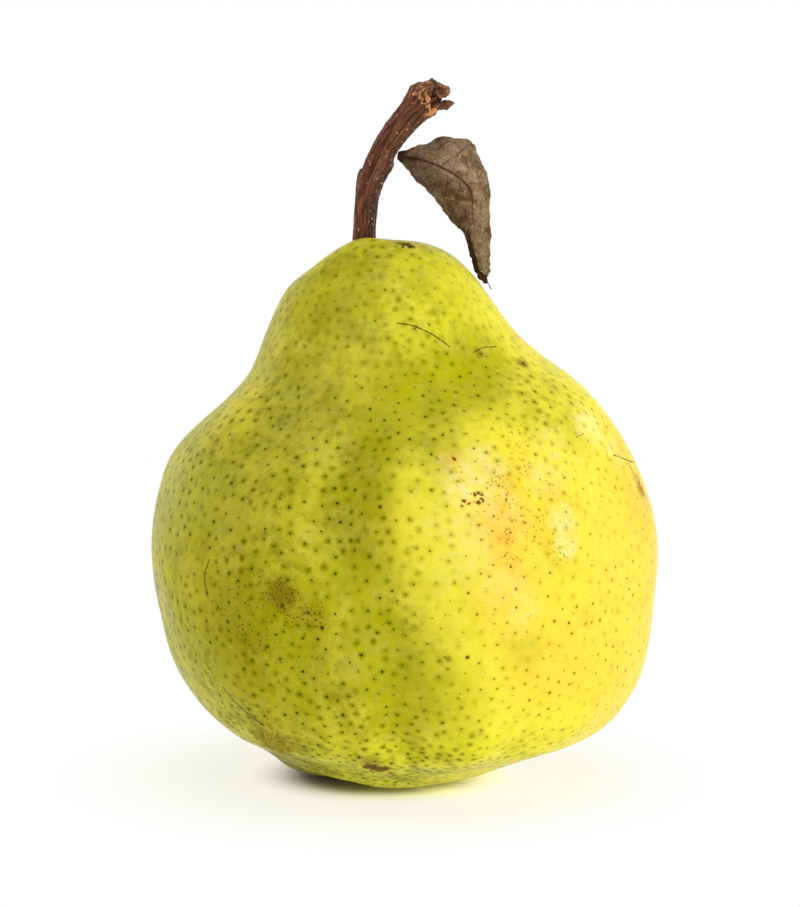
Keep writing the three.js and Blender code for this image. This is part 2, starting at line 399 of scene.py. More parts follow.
def normals_of(rows):
    """The outward direction at each point of a grid of rows that close on themselves."""
    along = np.gradient(rows, axis=0)
    across = np.roll(rows, -1, 1) - np.roll(rows, 1, 1)
    normals = np.cross(along, across)
    return normals / np.maximum(np.linalg.norm(normals, axis=2, keepdims=True), 1e-12)


def add_bumps(total, turn, height, bumps):
    """Adds soft bumps to values on the skin: a name, direction, height, two reaches and an amount."""
    for _, at, level, around, tall, amount in bumps:
        total = total + amount * bell(turn_between(turn, at), around) * bell(height - level, tall)
    return total


def pear_axis():
    """The ends of the line from the calyx to the stalk, and the directions up it, to its side and
    in front of it."""
    low, high = (np.array(corner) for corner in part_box("dried_flower"))
    bottom = np.array([*(low + high)[:2] / 2, 0])
    top = foot_of("stalk")
    up = (top - bottom) / np.linalg.norm(top - bottom)
    side = np.cross([0, 1, 0], up)
    side /= np.linalg.norm(side)
    return bottom, top, up, side, np.cross(side, up)


def cast(tree, middle, up, angles, directions):
    """How far the solid's skin is from its middle, for each angle from up and each direction."""
    found = np.empty((len(angles), len(directions)))
    for i, angle in enumerate(angles):
        for j, out in enumerate(math.sin(angle) * directions + math.cos(angle) * up):
            found[i, j] = tree.ray_cast(Vector(middle), Vector(out))[3]
    return found


def solid_rows(bottom, top, up, side, front):
    """The solid's skin, smoothed and closed over the stalk's socket, as rows of points from the foot
    of the stalk to the middle of the calyx."""
    tree = surface_of(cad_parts["fruit"].data)
    middle = bottom + CORE_SHARE * (top - bottom)
    turns = np.linspace(0, 2 * math.pi, FRUIT_AROUND, endpoint=False)
    flat = np.cos(turns)[:, None] * front + np.sin(turns)[:, None] * side
    # Angles that give rows an even distance apart.
    coarse = np.linspace(0, math.pi, COARSE_ANGLES)
    mean = cast(tree, middle, up, coarse, flat[:: FRUIT_AROUND // COARSE_TURNS]).mean(1)
    arc = np.concatenate([[0], np.cumsum(np.hypot(np.diff(mean), mean[1:] * np.diff(coarse)))])
    angles = np.interp((np.arange(FRUIT_ROWS) + 0.5) / FRUIT_ROWS * arc[-1], arc, coarse)
    radii = cast(tree, middle, up, angles, flat)
    reach = np.arcsin(SOCKET_REACH / np.linalg.norm(top - middle))
    edge = int(np.searchsorted(angles, reach))
    inside = (1 - angles[:edge] / angles[edge]) ** 1.5
    radii[:edge] = radii[edge] - SOCKET_DIP * inside[:, None]
    radii = smooth_round(radii, angles, FRUIT_SMOOTHING)
    out = np.sin(angles)[:, None, None] * flat + np.cos(angles)[:, None, None] * up
    return middle + radii[..., None] * out


def swell(rows, bottom):
    """Rows with the finer swellings and hollows of a real pear."""
    height = rows[..., 2] / MM
    shift = 0.3 * noise(rows, 14 * MM, 1) + 0.15 * noise(rows, 6 * MM, 2) + 0.04 * noise(rows, 2.6 * MM, 3)
    shift = add_bumps(shift, direction_of(rows), height, LUMPS)
    # The ring that it stands on, and the top round the stalk, stay as they are.
    from_calyx = np.hypot(*(rows - bottom)[..., :2].T).T / MM
    shift = shift * smooth(from_calyx + 20 * (height > 12), 10.5, 15) * smooth(height, 85.5, 80)
    rows = rows + (shift * MM)[..., None] * normals_of(rows)
    for x, y, reach, rise in CROWN_LIFTS:
        gap = np.hypot(rows[..., 0] - x * MM, rows[..., 1] - y * MM)
        rows[..., 2] += rise * MM * bell(gap, reach * MM) * smooth(rows[..., 2], 60 * MM, 76 * MM)
    return rows


def settle(rows):
    """Rests rows on the floor, a little more on the back and the right of the ring they stand on."""
    x, y, z = np.moveaxis(rows, 2, 0) / MM
    lift = 0.9 * smooth(x, -6, -16) + 0.8 * smooth(y, -3, -12)
    lift = lift + 0.8 * smooth(x, -2, -9) * smooth(y, -1, -8)
    settled = z + lift * smooth(z, 9, 2) - 0.35 * smooth(z, 3, 0)
    rows[..., 2] = np.maximum(settled, 0) * MM
    return rows


def make_fruit():
    bottom, top, up, side, front = pear_axis()
    rows = swell(solid_rows(bottom, top, up, side, front), bottom)
    return tube_object("pear_skin", settle(rows))


# ---- the marks on the skin ---------------------------------------------------------------------


# Well outside the pear, where the rays that find a place on its skin start.
OUTSIDE = 200 * MM


def on_skin(tree, turn, height):
    """The point of the skin in a direction, in degrees, at a height, in mm."""
    out = Vector((math.sin(math.radians(turn)), -math.cos(math.radians(turn)), 0))
    hit = tree.ray_cast(out * OUTSIDE + Vector((0, 0, height * MM)), -out)[0]
    return np.array(hit)


# Soft patches of each kind: direction in degrees, height and reach in mm, and strength.
PATCHES = {
    # Yellow-green at the base and on the neck; at the base partly painted bounce light from the table.
    "lime": [
        (18, 10, 6, 1.0), (-4, 9, 6, 0.9), (38, 77, 7, 0.35), (8, 78, 8, 0.5), (62, 76, 6, 0.3),
        (24, 73.5, 5, 0.5), (3, 74, 6, 0.5), (-24, 9, 6, 0.7), (36, 8, 6, 0.6), (-14, 4, 9, 0.9),
        (8, 4, 9, 1.0), (-50, 7, 8, 0.6), (160, 7, 12, 0.6),
    ],
    # Yellower patches, partly painted light on lit ridges, the base and the left edge.
    "lemon": [
        (-3, 46, 5, 0.6), (2, 52, 4, 0.5), (2, 37, 4, 0.6), (7, 36, 5, 0.8), (30, 12, 6, 0.8),
        (20, 22, 5, 0.5), (8, 42, 5, 0.6), (45, 64, 6, 0.6), (22, 8, 5, 0.7), (-10, 77, 7, 0.5),
        (-18, 57, 4, 0.4), (-88, 51, 7, 0.6), (-13.5, 18, 3, 0.8), (-17, 33, 2.5, 0.5),
        (-17, 29, 3, 0.5), (-26, 68, 4, 0.3), (-12.5, 23.5, 3, 0.9),
    ],
    # Richer green skin, partly painted shade in the hollows under the neck and on its right side.
    "rich": [
        (7, 63, 6, 0.9), (-1.5, 61, 6, 1.0), (-6.5, 57, 5, 1.0), (-9.5, 50, 5, 0.8),
        (-8, 43.5, 4.5, 0.5), (-13, 38.5, 5, 0.8), (-22, 33.5, 5, 0.9), (-30, 28.5, 7, 0.9),
        (-42, 24.5, 7, 0.7), (-6, 24, 5.5, 1.0), (-2.5, 17.5, 5, 0.8), (23, 65, 7, 1.0),
        (42, 60, 4, 0.3), (28, 27, 4, 0.2), (-40, 79, 8, 0.5), (-20, 79, 6, 0.25), (40, 69, 5, 0.7),
        (36, 79, 6, 0.4), (-40, 33, 8, 0.6), (-28, 20, 6, 0.6), (9, 20, 6, 0.7), (1, 24, 4.5, 0.7),
        (-70, 44, 8, 0.5), (-53, 45, 6, 0.5), (2, 82, 6, 0.4), (56, 17, 10, 0.12), (-6.5, 29, 5, 1.0),
    ],
    # Darker green skin, partly painted shade in the hollows under and beside the neck and in the groove.
    "deep": [
        (-33, 31, 7, 0.9), (-40, 23, 6, 0.7), (-7.5, 30, 4, 0.9), (31, 66.4, 5, 0.9), (6, 64.7, 5, 0.9),
        (46, 77, 7, 0.3), (-6, 23, 6, 1.0), (-3, 16.5, 5, 0.7), (-16, 36.5, 2.5, 0.4), (-24, 27, 5, 0.5),
        (-36, 30, 8, 0.9), (-62, 36, 8, 0.25), (-52, 24, 8, 0.6), (-32, 19, 5, 0.4), (-13, 51, 5, 0.45),
        (-14, 57, 4, 0.3), (-25, 62, 7, 0.5), (-40, 66, 6, 0.4), (7, 64, 6, 0.45), (-2, 61, 5, 0.4),
        (-6, 40, 5, 0.2), (-72, 25, 8, 0.2), (-38, 13, 6, 0.4), (38, 69, 6, 0.9), (28, 65.5, 6, 0.9),
        (12, 63.5, 6, 0.5), (55, 57, 4, 0.4), (28, 27, 3, 0.25), (36, 41, 4, 0.25), (72, 44, 5, 0.3),
    ],
    # Paler flesh, and painted sheen where the lamps' highlights fall.
    "pale": [
        (17, 51.5, 6, 0.8), (15, 42, 5, 0.5), (23, 48, 5, 0.4), (45, 56, 6, 0.35), (21, 54, 4, 0.8),
        (15, 46, 4, 0.55), (10, 40, 4.5, 0.3), (21, 37, 4, 0.45), (26, 33, 4, 0.4), (37, 52, 4, 0.6),
        (39, 46, 2.8, 0.9), (39, 42.5, 2.6, 0.8), (8, 47, 4, 0.3), (64, 58, 4, 0.8), (69, 54, 3, 0.6),
    ],
    "veil": [
        (-40, 60, 9, 0.7), (-26, 55, 4, 0.7), (-17, 56, 3, 0.5), (-18, 44, 4, 0.4), (-46, 49, 8, 0.6),
        (-64, 46, 9, 0.4), (-24, 74, 7, 0.5), (-8, 26, 5, 0.4),
    ],
    "blush": [
        (30, 49, 10, 0.32), (23, 44.5, 2.0, 0.85), (32, 54, 3, 0.5), (24, 52.3, 2.6, 0.5),
        (13, 55.4, 1.8, 0.6), (24, 41, 2.2, 0.6), (75, 52, 8, 0.4), (79, 47, 3, 0.7),
    ],
    "freckles": [
        (23, 44.5, 1.5, 1.0), (32, 54, 2.0, 1.0), (24, 52.3, 1.6, 1.0), (24, 41, 1.8, 0.9),
        (33, 58, 3.5, 0.5), (27, 48, 2.2, 0.8), (14, 53.5, 1.6, 0.5), (18, 49.5, 2.2, 0.5),
        (31, 45.5, 2.5, 0.5), (36, 41, 2, 0.4), (30, 49, 9, 0.25), (79, 48, 3, 0.7),
    ],
    "olive": [
        (-28, 35.3, 2.8, 0.9), (-23, 32.0, 3.2, 0.5), (-19, 33, 1.6, 0.4), (-36, 28.5, 4.0, 0.42),
        (-38, 33, 9.0, 0.25), (-30, 25, 8.0, 0.2), (61, 67.3, 1.3, 0.9), (39.5, 69.3, 0.9, 1.0),
    ],
    "russet": [
        (-42, 10.5, 4.5, 0.75), (-46, 6.5, 4.0, 0.75), (-58, 13, 4.5, 0.45), (-95, 80, 3.5, 0.6),
        (76, 48, 2.5, 0.6),
    ],
    "scab": [
        (-1, 85.3, 1.3, 0.75), (5, 85.2, 1.0, 0.7), (-11.5, 6.9, 1.6, 1.0), (-8.5, 6.6, 1.5, 1.0),
        (-14, 9.2, 0.8, 0.6),
    ],
}

# Larger marks among the dots: direction, height, radius in mm and how rusty.
SPOTS = [
    (17.0, 50.4, 0.26, 0.6),
    (17.8, 50.6, 0.30, 0.5),
    (18.6, 50.3, 0.28, 0.6),
    (18.5, 49.6, 0.34, 0.7),
    (17.5, 49.3, 0.36, 0.5),
    (14.0, 49.6, 0.30, 0.8),
    (15.2, 49.2, 0.22, 0.9),
    (13.4, 48.9, 0.20, 0.9),
    (13, 55.4, 0.34, 0.7),
    (7, 84.9, 0.34, 0.4),
    (61, 67.3, 0.36, 0.4),
    (-6, 48.8, 0.28, 0.5),
    (-28, 33.8, 0.30, 0.3),
    (-19, 30.6, 0.34, 0.3),
    (14, 26.4, 0.32, 0.5),
]

# Fine brown lines: width in mm, strength, then direction and height of each point on the way.
SCRATCHES = [
    (0.16, 0.9, [(-4, 74.2), (3, 73.9), (10, 73.1), (17, 71.9), (23, 70.5)]),
    (0.14, 0.8, [(36, 69.5), (44, 70.0), (53, 69.9)]),
    (0.20, 0.7, [(-48, 39.4), (-49, 36.6), (-48, 34.0)]),
    (0.30, 0.8, [(-49, 18.7), (-47, 17.3), (-44, 15.6), (-40, 13.7)]),
    (0.18, 0.9, [(68, 53.4), (76, 51.9), (84, 50.9)]),
    (0.14, 0.7, [(66, 54.8), (64, 53.0)]),
    (0.16, 0.6, [(55, 56.9), (59, 57.2)]),
    (0.15, 0.6, [(72, 60.2), (70, 59.0)]),
    (0.45, 0.6, [(75, 51), (76, 48.5), (79, 46)]),
    (0.30, 0.6, [(78, 49.5), (80, 46), (81, 43.5)]),
    (0.40, 0.8, [(-4, 85.3), (5, 85.1), (13, 84.8)]),
    (0.35, 0.8, [(-2, 85.3), (-3, 84.9)]),
    (0.35, 0.8, [(2, 85.3), (5, 84.9)]),
]

# Yellower and greener areas: a name, direction, height, how far each reaches round and up, in degrees
# and mm, and how much riper it is.
RIPE_AREAS = [
    ("right side", 84, 36, 62, 30, 1.0),
    ("right front", 23, 45, 13, 15, 0.42),
    ("right front, lower", 20, 24, 14, 10, 0.3),
    ("low right", 56, 20, 26, 12, 0.35),
    ("right of the neck", 50, 77, 38, 6, 0.35),
    ("front ridge", 0, 46, 8, 10, 0.35),
    ("left shoulder", -66, 61, 18, 5, 0.25),
    ("left of the neck", -30, 68, 14, 4, 0.2),
    ("back", 170, 40, 40, 26, 0.45),
    ("under the neck", 24, 66, 26, 4.5, -0.28),
    ("right shoulder", 54, 62, 14, 5, -0.04),
    ("groove", -13, 50, 7, 8, -0.25),
    ("low in front", -8, 25, 8, 9, -0.3),
    ("left cheek", -36, 30, 14, 9, -0.2),
    ("a patch on the right", 36, 41, 6, 4, -0.18),
    ("a patch lower down", 28, 27, 7, 5, -0.12),
    ("a patch by the base", 46, 19, 8, 4, -0.08),
    ("edge of the right side", 88, 52, 12, 7, -0.2),
]


def ripeness(points):
    """0 where the skin is green, 1 where it is ripe yellow."""
    turn, height = direction_of(points), points[..., 2] / MM
    total = 0.12 + 0.14 * noise(points, 12 * MM, 21) + 0.10 * noise(points, 5 * MM, 22)
    return np.clip(add_bumps(total, turn, height, RIPE_AREAS), 0, 1)


def scatter(points, ripe, spacing):
    """Picks points about spacing apart, closer near the base and on the neck: their numbers in the
    list."""
    tries = random.permutation(len(points))
    kept = []
    cells = {}
    size = 1.25 * spacing
    for i in tries:
        point = points[i]
        cell = tuple((point // size).astype(int))
        denser = 1 - 0.3 * smooth(point[2], 20 * MM, 6 * MM) - 0.1 * smooth(point[2], 66 * MM, 72 * MM)
        gap = spacing * denser * (0.78 + 0.12 * ripe[i] + 0.4 * random.random())
        near = [
            other
            for dx in (-1, 0, 1)
            for dy in (-1, 0, 1)
            for dz in (-1, 0, 1)
            for other in cells.get((cell[0] + dx, cell[1] + dy, cell[2] + dz), ())
        ]
        if near and np.min(np.sum((np.array(near) - point) ** 2, axis=1)) < gap * gap:
            continue
        cells.setdefault(cell, []).append(point)
        kept.append(i)
    return np.array(kept)


DOT_SPACING = 1.9 * MM
DOT_RADIUS = 0.178 * MM
# How far the dots keep from the larger spots, and from the floor.
SPOT_CLEARANCE = 1.3 * MM
FLOOR_CLEARANCE = 0.3 * MM
# How strong the halos and the middles of the larger spots are.
SPOT_HALO = 0.3
SPOT_STRENGTH = 0.95
# A scratch shows no further than this from its middle line.
SCRATCH_REACH = 3 * MM


def mark_dots(fruit, points, ripe, tree):
    """Stores the nearest dot to each face, and the greener clouds round the dots on each point."""
    jitter = random.normal(0, 0.15 * MM, points.shape)
    seeds = scatter(points + jitter, ripe, DOT_SPACING)
    seeds = seeds[points[seeds, 2] > FLOOR_CLEARANCE]
    spots = np.array([on_skin(tree, turn, height) for turn, height, _, _ in SPOTS])
    clear = [min(np.linalg.norm(spots - points[i], axis=1)) > SPOT_CLEARANCE for i in seeds]
    seeds = seeds[clear]
    here = ripe[seeds]
    count = len(seeds)
    patchy = 0.75 + 0.55 * noise(points[seeds], 5 * MM, 23)
    halos = random.uniform(0.3, 1.1, count) * patchy * np.clip(1.4 - 1.6 * here, 0.5, 1.2)
    halos = halos * (1 - 0.35 * smooth(points[seeds, 2], 60 * MM, 68 * MM))
    height = points[seeds, 2] / MM
    sizes = random.uniform(0.45, 1.35, count) * (1 - 0.2 * smooth(height, 62, 70))
    strength = random.uniform(0.6, 1.0, count) * (1 - 0.22 * smooth(height, 62, 70))
    strength = strength * (1 - 0.3 * bell(here - 0.55, 0.3))
    rust = random.normal(0.0, 0.25, count) + 0.75 * here
    table = {
        "dot_at": np.vstack([points[seeds], spots]),
        "dot_size": np.concatenate([DOT_RADIUS * sizes, [spot[2] * MM for spot in SPOTS]]),
        "dot_rust": np.concatenate([np.clip(rust, 0, 1), [spot[3] for spot in SPOTS]]),
        "dot_halo": np.concatenate([halos, [SPOT_HALO] * len(SPOTS)]),
        "dot_strong": np.concatenate([strength, [SPOT_STRENGTH] * len(SPOTS)]),
    }
    near_dot = tree_of(table["dot_at"])
    nearest = np.array([near_dot.find(middle)[1] for middle in places_of(fruit.data.polygons, "center")])
    for name, values in table.items():
        give(fruit, name, values[nearest], "FACE")

    near_point = tree_of(points)
    cloud = np.zeros(len(points))
    reach = random.uniform(1.2, 2.2, count) * MM
    amount = halos * random.uniform(0.1, 0.6, count)
    for dot, wide, strong in zip(points[seeds], reach, amount):
        for _, i, gap in near_point.find_range(dot, 2 * wide):
            cloud[i] += strong * math.exp(-((gap / wide) ** 2))
    give(fruit, "cloud", cloud)


def mark_skin(fruit):
    """Stores where the skin is ripe, dotted, patched and scratched."""
    points = places_of(fruit.data.vertices)
    tree = surface_of(fruit.data)
    ripe = ripeness(points)
    give(fruit, "ripe", ripe)
    mark_dots(fruit, points, ripe, tree)
    for kind, patches in sorted(PATCHES.items()):
        total = np.zeros(len(points))
        for turn, height, wide, strong in patches:
            gap = np.linalg.norm(points - on_skin(tree, turn, height), axis=1) / MM
            total = np.maximum(total, strong * smooth(gap, 1.5 * wide, 0.3 * wide))
        give(fruit, kind, total)
    mark_scratches(fruit, tree)


def mark_scratches(fruit, tree):
    """Stores the nearest stretch of scratch to each face: its two ends, its width and its strength."""
    stretches = []
    for width, strong, way in SCRATCHES:
        line = curve_through([on_skin(tree, turn, height) for turn, height in way], 4 * len(way))
        stretches += [(a, b, width * MM, strong) for a, b in zip(line, line[1:])]
    ends_a, ends_b = (np.array([s[n] for s in stretches]) for n in (0, 1))
    near_stretch = tree_of((ends_a + ends_b) / 2)
    found = [near_stretch.find(middle) for middle in places_of(fruit.data.polygons, "center")]
    index = np.array([i for _, i, _ in found])
    close = np.array([gap < SCRATCH_REACH for _, _, gap in found])
    give(fruit, "scratch_a", ends_a[index], "FACE")
    give(fruit, "scratch_b", ends_b[index], "FACE")
    give(fruit, "scratch_width", np.array([s[2] for s in stretches])[index], "FACE")
    give(fruit, "scratch", np.array([s[3] for s in stretches])[index] * close, "FACE")


# ---- the skin's material -----------------------------------------------------------------------

GREEN_SKIN = colour(211, 204, 48)
LEMON_SKIN = colour(245, 231, 62)
RIPE_SKIN = colour(252, 219, 70)
# Yellow-green that is partly painted bounce light at the base.
LIME_AND_BOUNCE = colour(238, 237, 42)
DEEP_GREEN = colour(144, 140, 0)
GOLD = colour(208, 172, 0)
# Greener tones laid on as darker skin and as painted shade.
RICH_GREEN_AND_SHADE = colour(184, 180, 0)
SHADE_GREEN = colour(138, 135, 0)
DOT_DARK = colour(60, 54, 6)
DOT_RUST = colour(144, 70, 22)
HAZE = colour(242, 234, 140)
VEIL = colour(176, 178, 88)
# Pale flesh with painted sheen on it.
PALE_AND_SHEEN = colour(255, 241, 164)
BLUSH = colour(238, 166, 66)
FRECKLE = colour(190, 122, 16)
OLIVE = colour(132, 108, 6)
BROWN = colour(84, 56, 14)
RUSSET = colour(150, 122, 46)
SCAB = colour(110, 68, 38)
WAX = (1, 0.95, 0.4, 1)


def ground_colour(g, ripe):
    """Green to ripe yellow skin, with clouds of green and milky haze in it."""
    base = g.mix(g.ramp(ripe, 0.0, 0.6), GREEN_SKIN, LEMON_SKIN)
    base = g.mix(g.ramp(ripe, 0.55, 1.0), base, RIPE_SKIN)
    # Lime at the base and neck, partly painted bounce light.
    base = g.paint(base, LIME_AND_BOUNCE, g.stored("lime"), 0.85)
    # Yellower patches, partly painted light.
    base = g.paint(base, LEMON_SKIN, g.stored("lemon"), 0.7)
    greener = g.ramp(ripe, 0.1, 0.6, 1.0, 0.25)
    broad = g.ramp(g.noise(6 * MM, 3, 0.6), 0.42, 0.68)
    middling = g.ramp(g.noise(2.6 * MM, 3, 0.6), 0.44, 0.66)
    fine = g.ramp(g.noise(1.1 * MM, 4, 0.7), 0.44, 0.68)
    cloud = g.plus(g.times(broad, 0.28), g.plus(g.times(middling, 0.36), g.times(fine, 0.20)))
    cloud = g.plus(g.times(cloud, greener), g.times(g.stored("cloud"), 0.32))
    base = g.mix(g.sum("MINIMUM", cloud, 0.9), base, DEEP_GREEN)
    ragged = g.ramp(g.noise(2.2 * MM, 4, 0.65), 0.3, 0.65, 0.55, 1.0)
    # Deeper and richer greens, partly painted shade in hollows.
    base = g.paint(base, SHADE_GREEN, g.times(g.stored("deep"), ragged), 0.75)
    base = g.paint(base, RICH_GREEN_AND_SHADE, g.times(g.stored("rich"), ragged), 0.9)
    haze = g.times(g.ramp(g.noise(3.4 * MM, 5, 0.75, warp=0.6), 0.44, 0.76), 0.14)
    haze = g.plus(haze, g.times(g.ramp(g.noise(0.7 * MM, 4, 0.75), 0.45, 0.78), 0.06))
    return g.mix(g.times(haze, g.ramp(ripe, 0.2, 0.8, 1.0, 0.5)), base, HAZE)


def add_soft_patches(g, base):
    """A greyer veil, pale flesh with painted sheen over it, and blush, all broken up."""
    broken = g.ramp(g.noise(2.4 * MM, 4, 0.65), 0.34, 0.62, 0.1, 1.0)
    streaked = g.ramp(g.noise(1.3 * MM, 4, 0.7), 0.36, 0.62, 0.3, 1.0)
    base = g.paint(base, VEIL, g.times(g.stored("veil"), broken), 0.4)
    # Pale flesh and painted sheen from the lamps, ragged at the edge.
    edge = g.times(g.swing(2.0 * MM, 5, 0.7), 1.3)
    flesh_and_sheen = g.ramp(g.plus(g.stored("pale"), edge), 0.05, 1.1)
    base = g.paint(base, PALE_AND_SHEEN, g.times(flesh_and_sheen, streaked), 0.8)
    return g.paint(base, BLUSH, g.times(g.stored("blush"), broken), 0.7)


def add_freckles(g, base):
    """Freckles, and olive and russet blotches that are speckled with brown."""
    base = g.paint(base, FRECKLE, g.specks(0.52 * MM, g.stored("freckles"), 0.46), 0.75)
    base = g.paint(base, OLIVE, g.specks(1.2 * MM, 0.22, 0.14), 0.45)
    ragged = g.swing(1.3 * MM, 5, 0.75)
    olive = g.ramp(g.plus(g.stored("olive"), ragged), 0.0, 1.1)
    russet = g.ramp(g.plus(g.stored("russet"), g.times(ragged, 1.6)), 0.25, 0.7)
    base = g.paint(base, OLIVE, olive, 0.85)
    base = g.paint(base, RUSSET, russet, 0.55)
    marked = g.sum("MAXIMUM", g.times(olive, 1.5), russet)
    base = g.paint(base, BROWN, g.specks(0.45 * MM, marked, 0.5), 0.7)
    return base, russet


def add_dots(g, base):
    """Dark dots, each with a greener halo of an uneven shape."""
    size = g.stored("dot_size")
    wobble = g.times(g.swing(0.5 * MM, 3, 0.6), g.times(size, 1.7))
    spread = g.times(g.swing(1.0 * MM, 3, 0.6), 0.9 * MM)
    gap = g.vector("DISTANCE", g.place, g.stored_vector("dot_at"))
    halo = g.times(g.ramp(g.plus(gap, spread), 0.9 * MM, 0.15 * MM), g.stored("dot_halo"))
    halo_colour = g.mix(g.ramp(g.stored("ripe"), 0.3, 0.9), DEEP_GREEN, GOLD)
    base = g.mix(g.sum("MINIMUM", g.times(halo, 0.95), 0.95), base, halo_colour)
    dot = g.ramp(g.plus(gap, wobble), g.times(size, 1.4), g.times(size, 0.6))
    dot = g.times(dot, g.stored("dot_strong"))
    return g.mix(dot, base, g.mix(g.stored("dot_rust"), DOT_DARK, DOT_RUST)), dot


def add_scabs(g, base):
    """Brown scabs, ragged at the edge."""
    ragged = g.times(g.swing(1.3 * MM, 5, 0.75), 2.6)
    scab = g.ramp(g.plus(g.stored("scab"), ragged), 0.3, 0.75)
    grain = g.ramp(g.noise(0.4 * MM, 3, 0.7), 0.35, 0.65)
    return g.mix(g.times(scab, 0.92), base, g.mix(grain, SCAB, BROWN)), scab


def add_scratches(g, base):
    """Brown lines, by how far a point is from the nearest stretch of one."""
    start = g.stored_vector("scratch_a")
    along = g.vector("SUBTRACT", g.stored_vector("scratch_b"), start)
    here = g.vector("SUBTRACT", g.place, start)
    reach = g.vector("DOT_PRODUCT", here, along)
    share = g.sum("DIVIDE", reach, g.vector("DOT_PRODUCT", along, along), clamp=True)
    off = g.vector("LENGTH", g.vector("SUBTRACT", here, g.vector("SCALE", along, scale=share)))
    off = g.plus(off, g.times(g.swing(0.5 * MM, 2), 0.2 * MM))
    width = g.stored("scratch_width")
    scratch = g.times(g.ramp(off, width, g.times(width, 0.35)), g.stored("scratch"))
    return g.mix(scratch, base, BROWN), scratch


def skin_material():
    g = Graph(bpy.data.materials.new("skin"))
    base = add_soft_patches(g, ground_colour(g, g.stored("ripe")))
    base, russet = add_freckles(g, base)
    base, dot = add_dots(g, base)
    base, scab = add_scabs(g, base)
    base, scratch = add_scratches(g, base)
    rough_marks = g.sum("MAXIMUM", g.times(dot, 0.7), g.sum("MAXIMUM", russet, scab))
    roughness = g.plus(g.times(g.noise(1.2 * MM, 2), 0.14), g.plus(g.times(rough_marks, 0.3), 0.26))
    waves = g.plus(g.noise(1.0 * MM, 2, 0.5), g.times(g.noise(0.33 * MM, 2), 0.4))
    creases = g.noise(0.9 * MM, 3, 0.6, g.drawn_out(g.place, 0.22))
    marks = g.plus(g.times(dot, -0.9), g.plus(g.times(scratch, -1.0), g.times(scab, 0.9)))
    normal = g.bump(g.plus(g.plus(waves, g.times(creases, 0.6)), marks), 0.045 * MM)
    return g.finish(base, roughness, normal, IOR=1.45, Specular_IOR_Level=0.05, Specular_Tint=WAX)


# ---- rods --------------------------------------------------------------------------------------


def rod_frames(line):
    """The directions along a line, and to its side and back, square to it."""
    along = np.gradient(line, axis=0)
    along /= np.linalg.norm(along, axis=1, keepdims=True)
    side = np.cross([0, 1.0, 0], along)
    side /= np.linalg.norm(side, axis=1, keepdims=True)
    return along, side, np.cross(along, side)


def rod(corner, stations, count, around):
    """A bent rod through stations of x, y, z and two half-widths, in mm from a corner: rows of points on
    its middle line, the rows' offsets from it, and each point's place on the bark laid out flat."""
    curve = curve_through(stations, count) * MM
    line = corner + curve[:, :3]
    side, back = rod_frames(line)[1:]
    turns = np.linspace(0, 2 * math.pi, around, endpoint=False)
    offsets = curve[:, 3, None, None] * np.cos(turns)[:, None] * side[:, None]
    offsets = offsets + curve[:, 4, None, None] * np.sin(turns)[:, None] * back[:, None]
    bark = np.empty((count, around, 3))
    bark[..., 0] = curve[:, 3, None] * np.cos(turns)
    bark[..., 1] = curve[:, 4, None] * np.sin(turns)
    steps = np.linalg.norm(np.diff(line, axis=0), axis=1)
    bark[..., 2] = np.concatenate([[0], np.cumsum(steps)])[:, None]
    return line, offsets, bark


def rod_object(name, rows, bark, **stored):
    """A closed piece from rows, with its bark places and one value for each stored name."""
    piece = tube_object(name, rows)
    flat = bark.reshape(-1, 3)
    give(piece, "bark", np.vstack([flat[:1], flat, flat[-1:]]))
    for key, value in stored.items():
        middle = np.broadcast_to(value, rows.shape[:2]).ravel()
        give(piece, key, np.concatenate([middle[:1], middle, middle[-1:]]))
    return piece


# ---- the stalk ---------------------------------------------------------------------------------

STALK_AROUND = 136
STALK_ROWS = 400
# Places along the stalk, from below the skin to where its bark is torn off: x, y and z from the low
# corner of its solid's box, and the half-widths across and front to back, in mm.
STALK_STATIONS = [
    (2.0, 2.4, 0.2, 2.05, 2.05),
    (2.0, 2.4, 5.0, 1.85, 1.85),
    (2.4, 2.5, 10.0, 1.90, 1.88),
    (3.6, 2.4, 14.5, 1.98, 1.90),
    (5.8, 2.3, 18.8, 2.02, 1.96),
    (8.8, 2.4, 22.8, 2.24, 2.08),
    (11.6, 2.4, 25.2, 2.50, 2.16),
]
# How the torn end falls in: the share of the half-widths, and how far back along the stalk in mm.
TORN_BOWL = [(0.95, -0.05), (0.86, 0.05), (0.76, 0.5), (0.62, 1.0), (0.42, 1.2), (0.20, 1.2)]
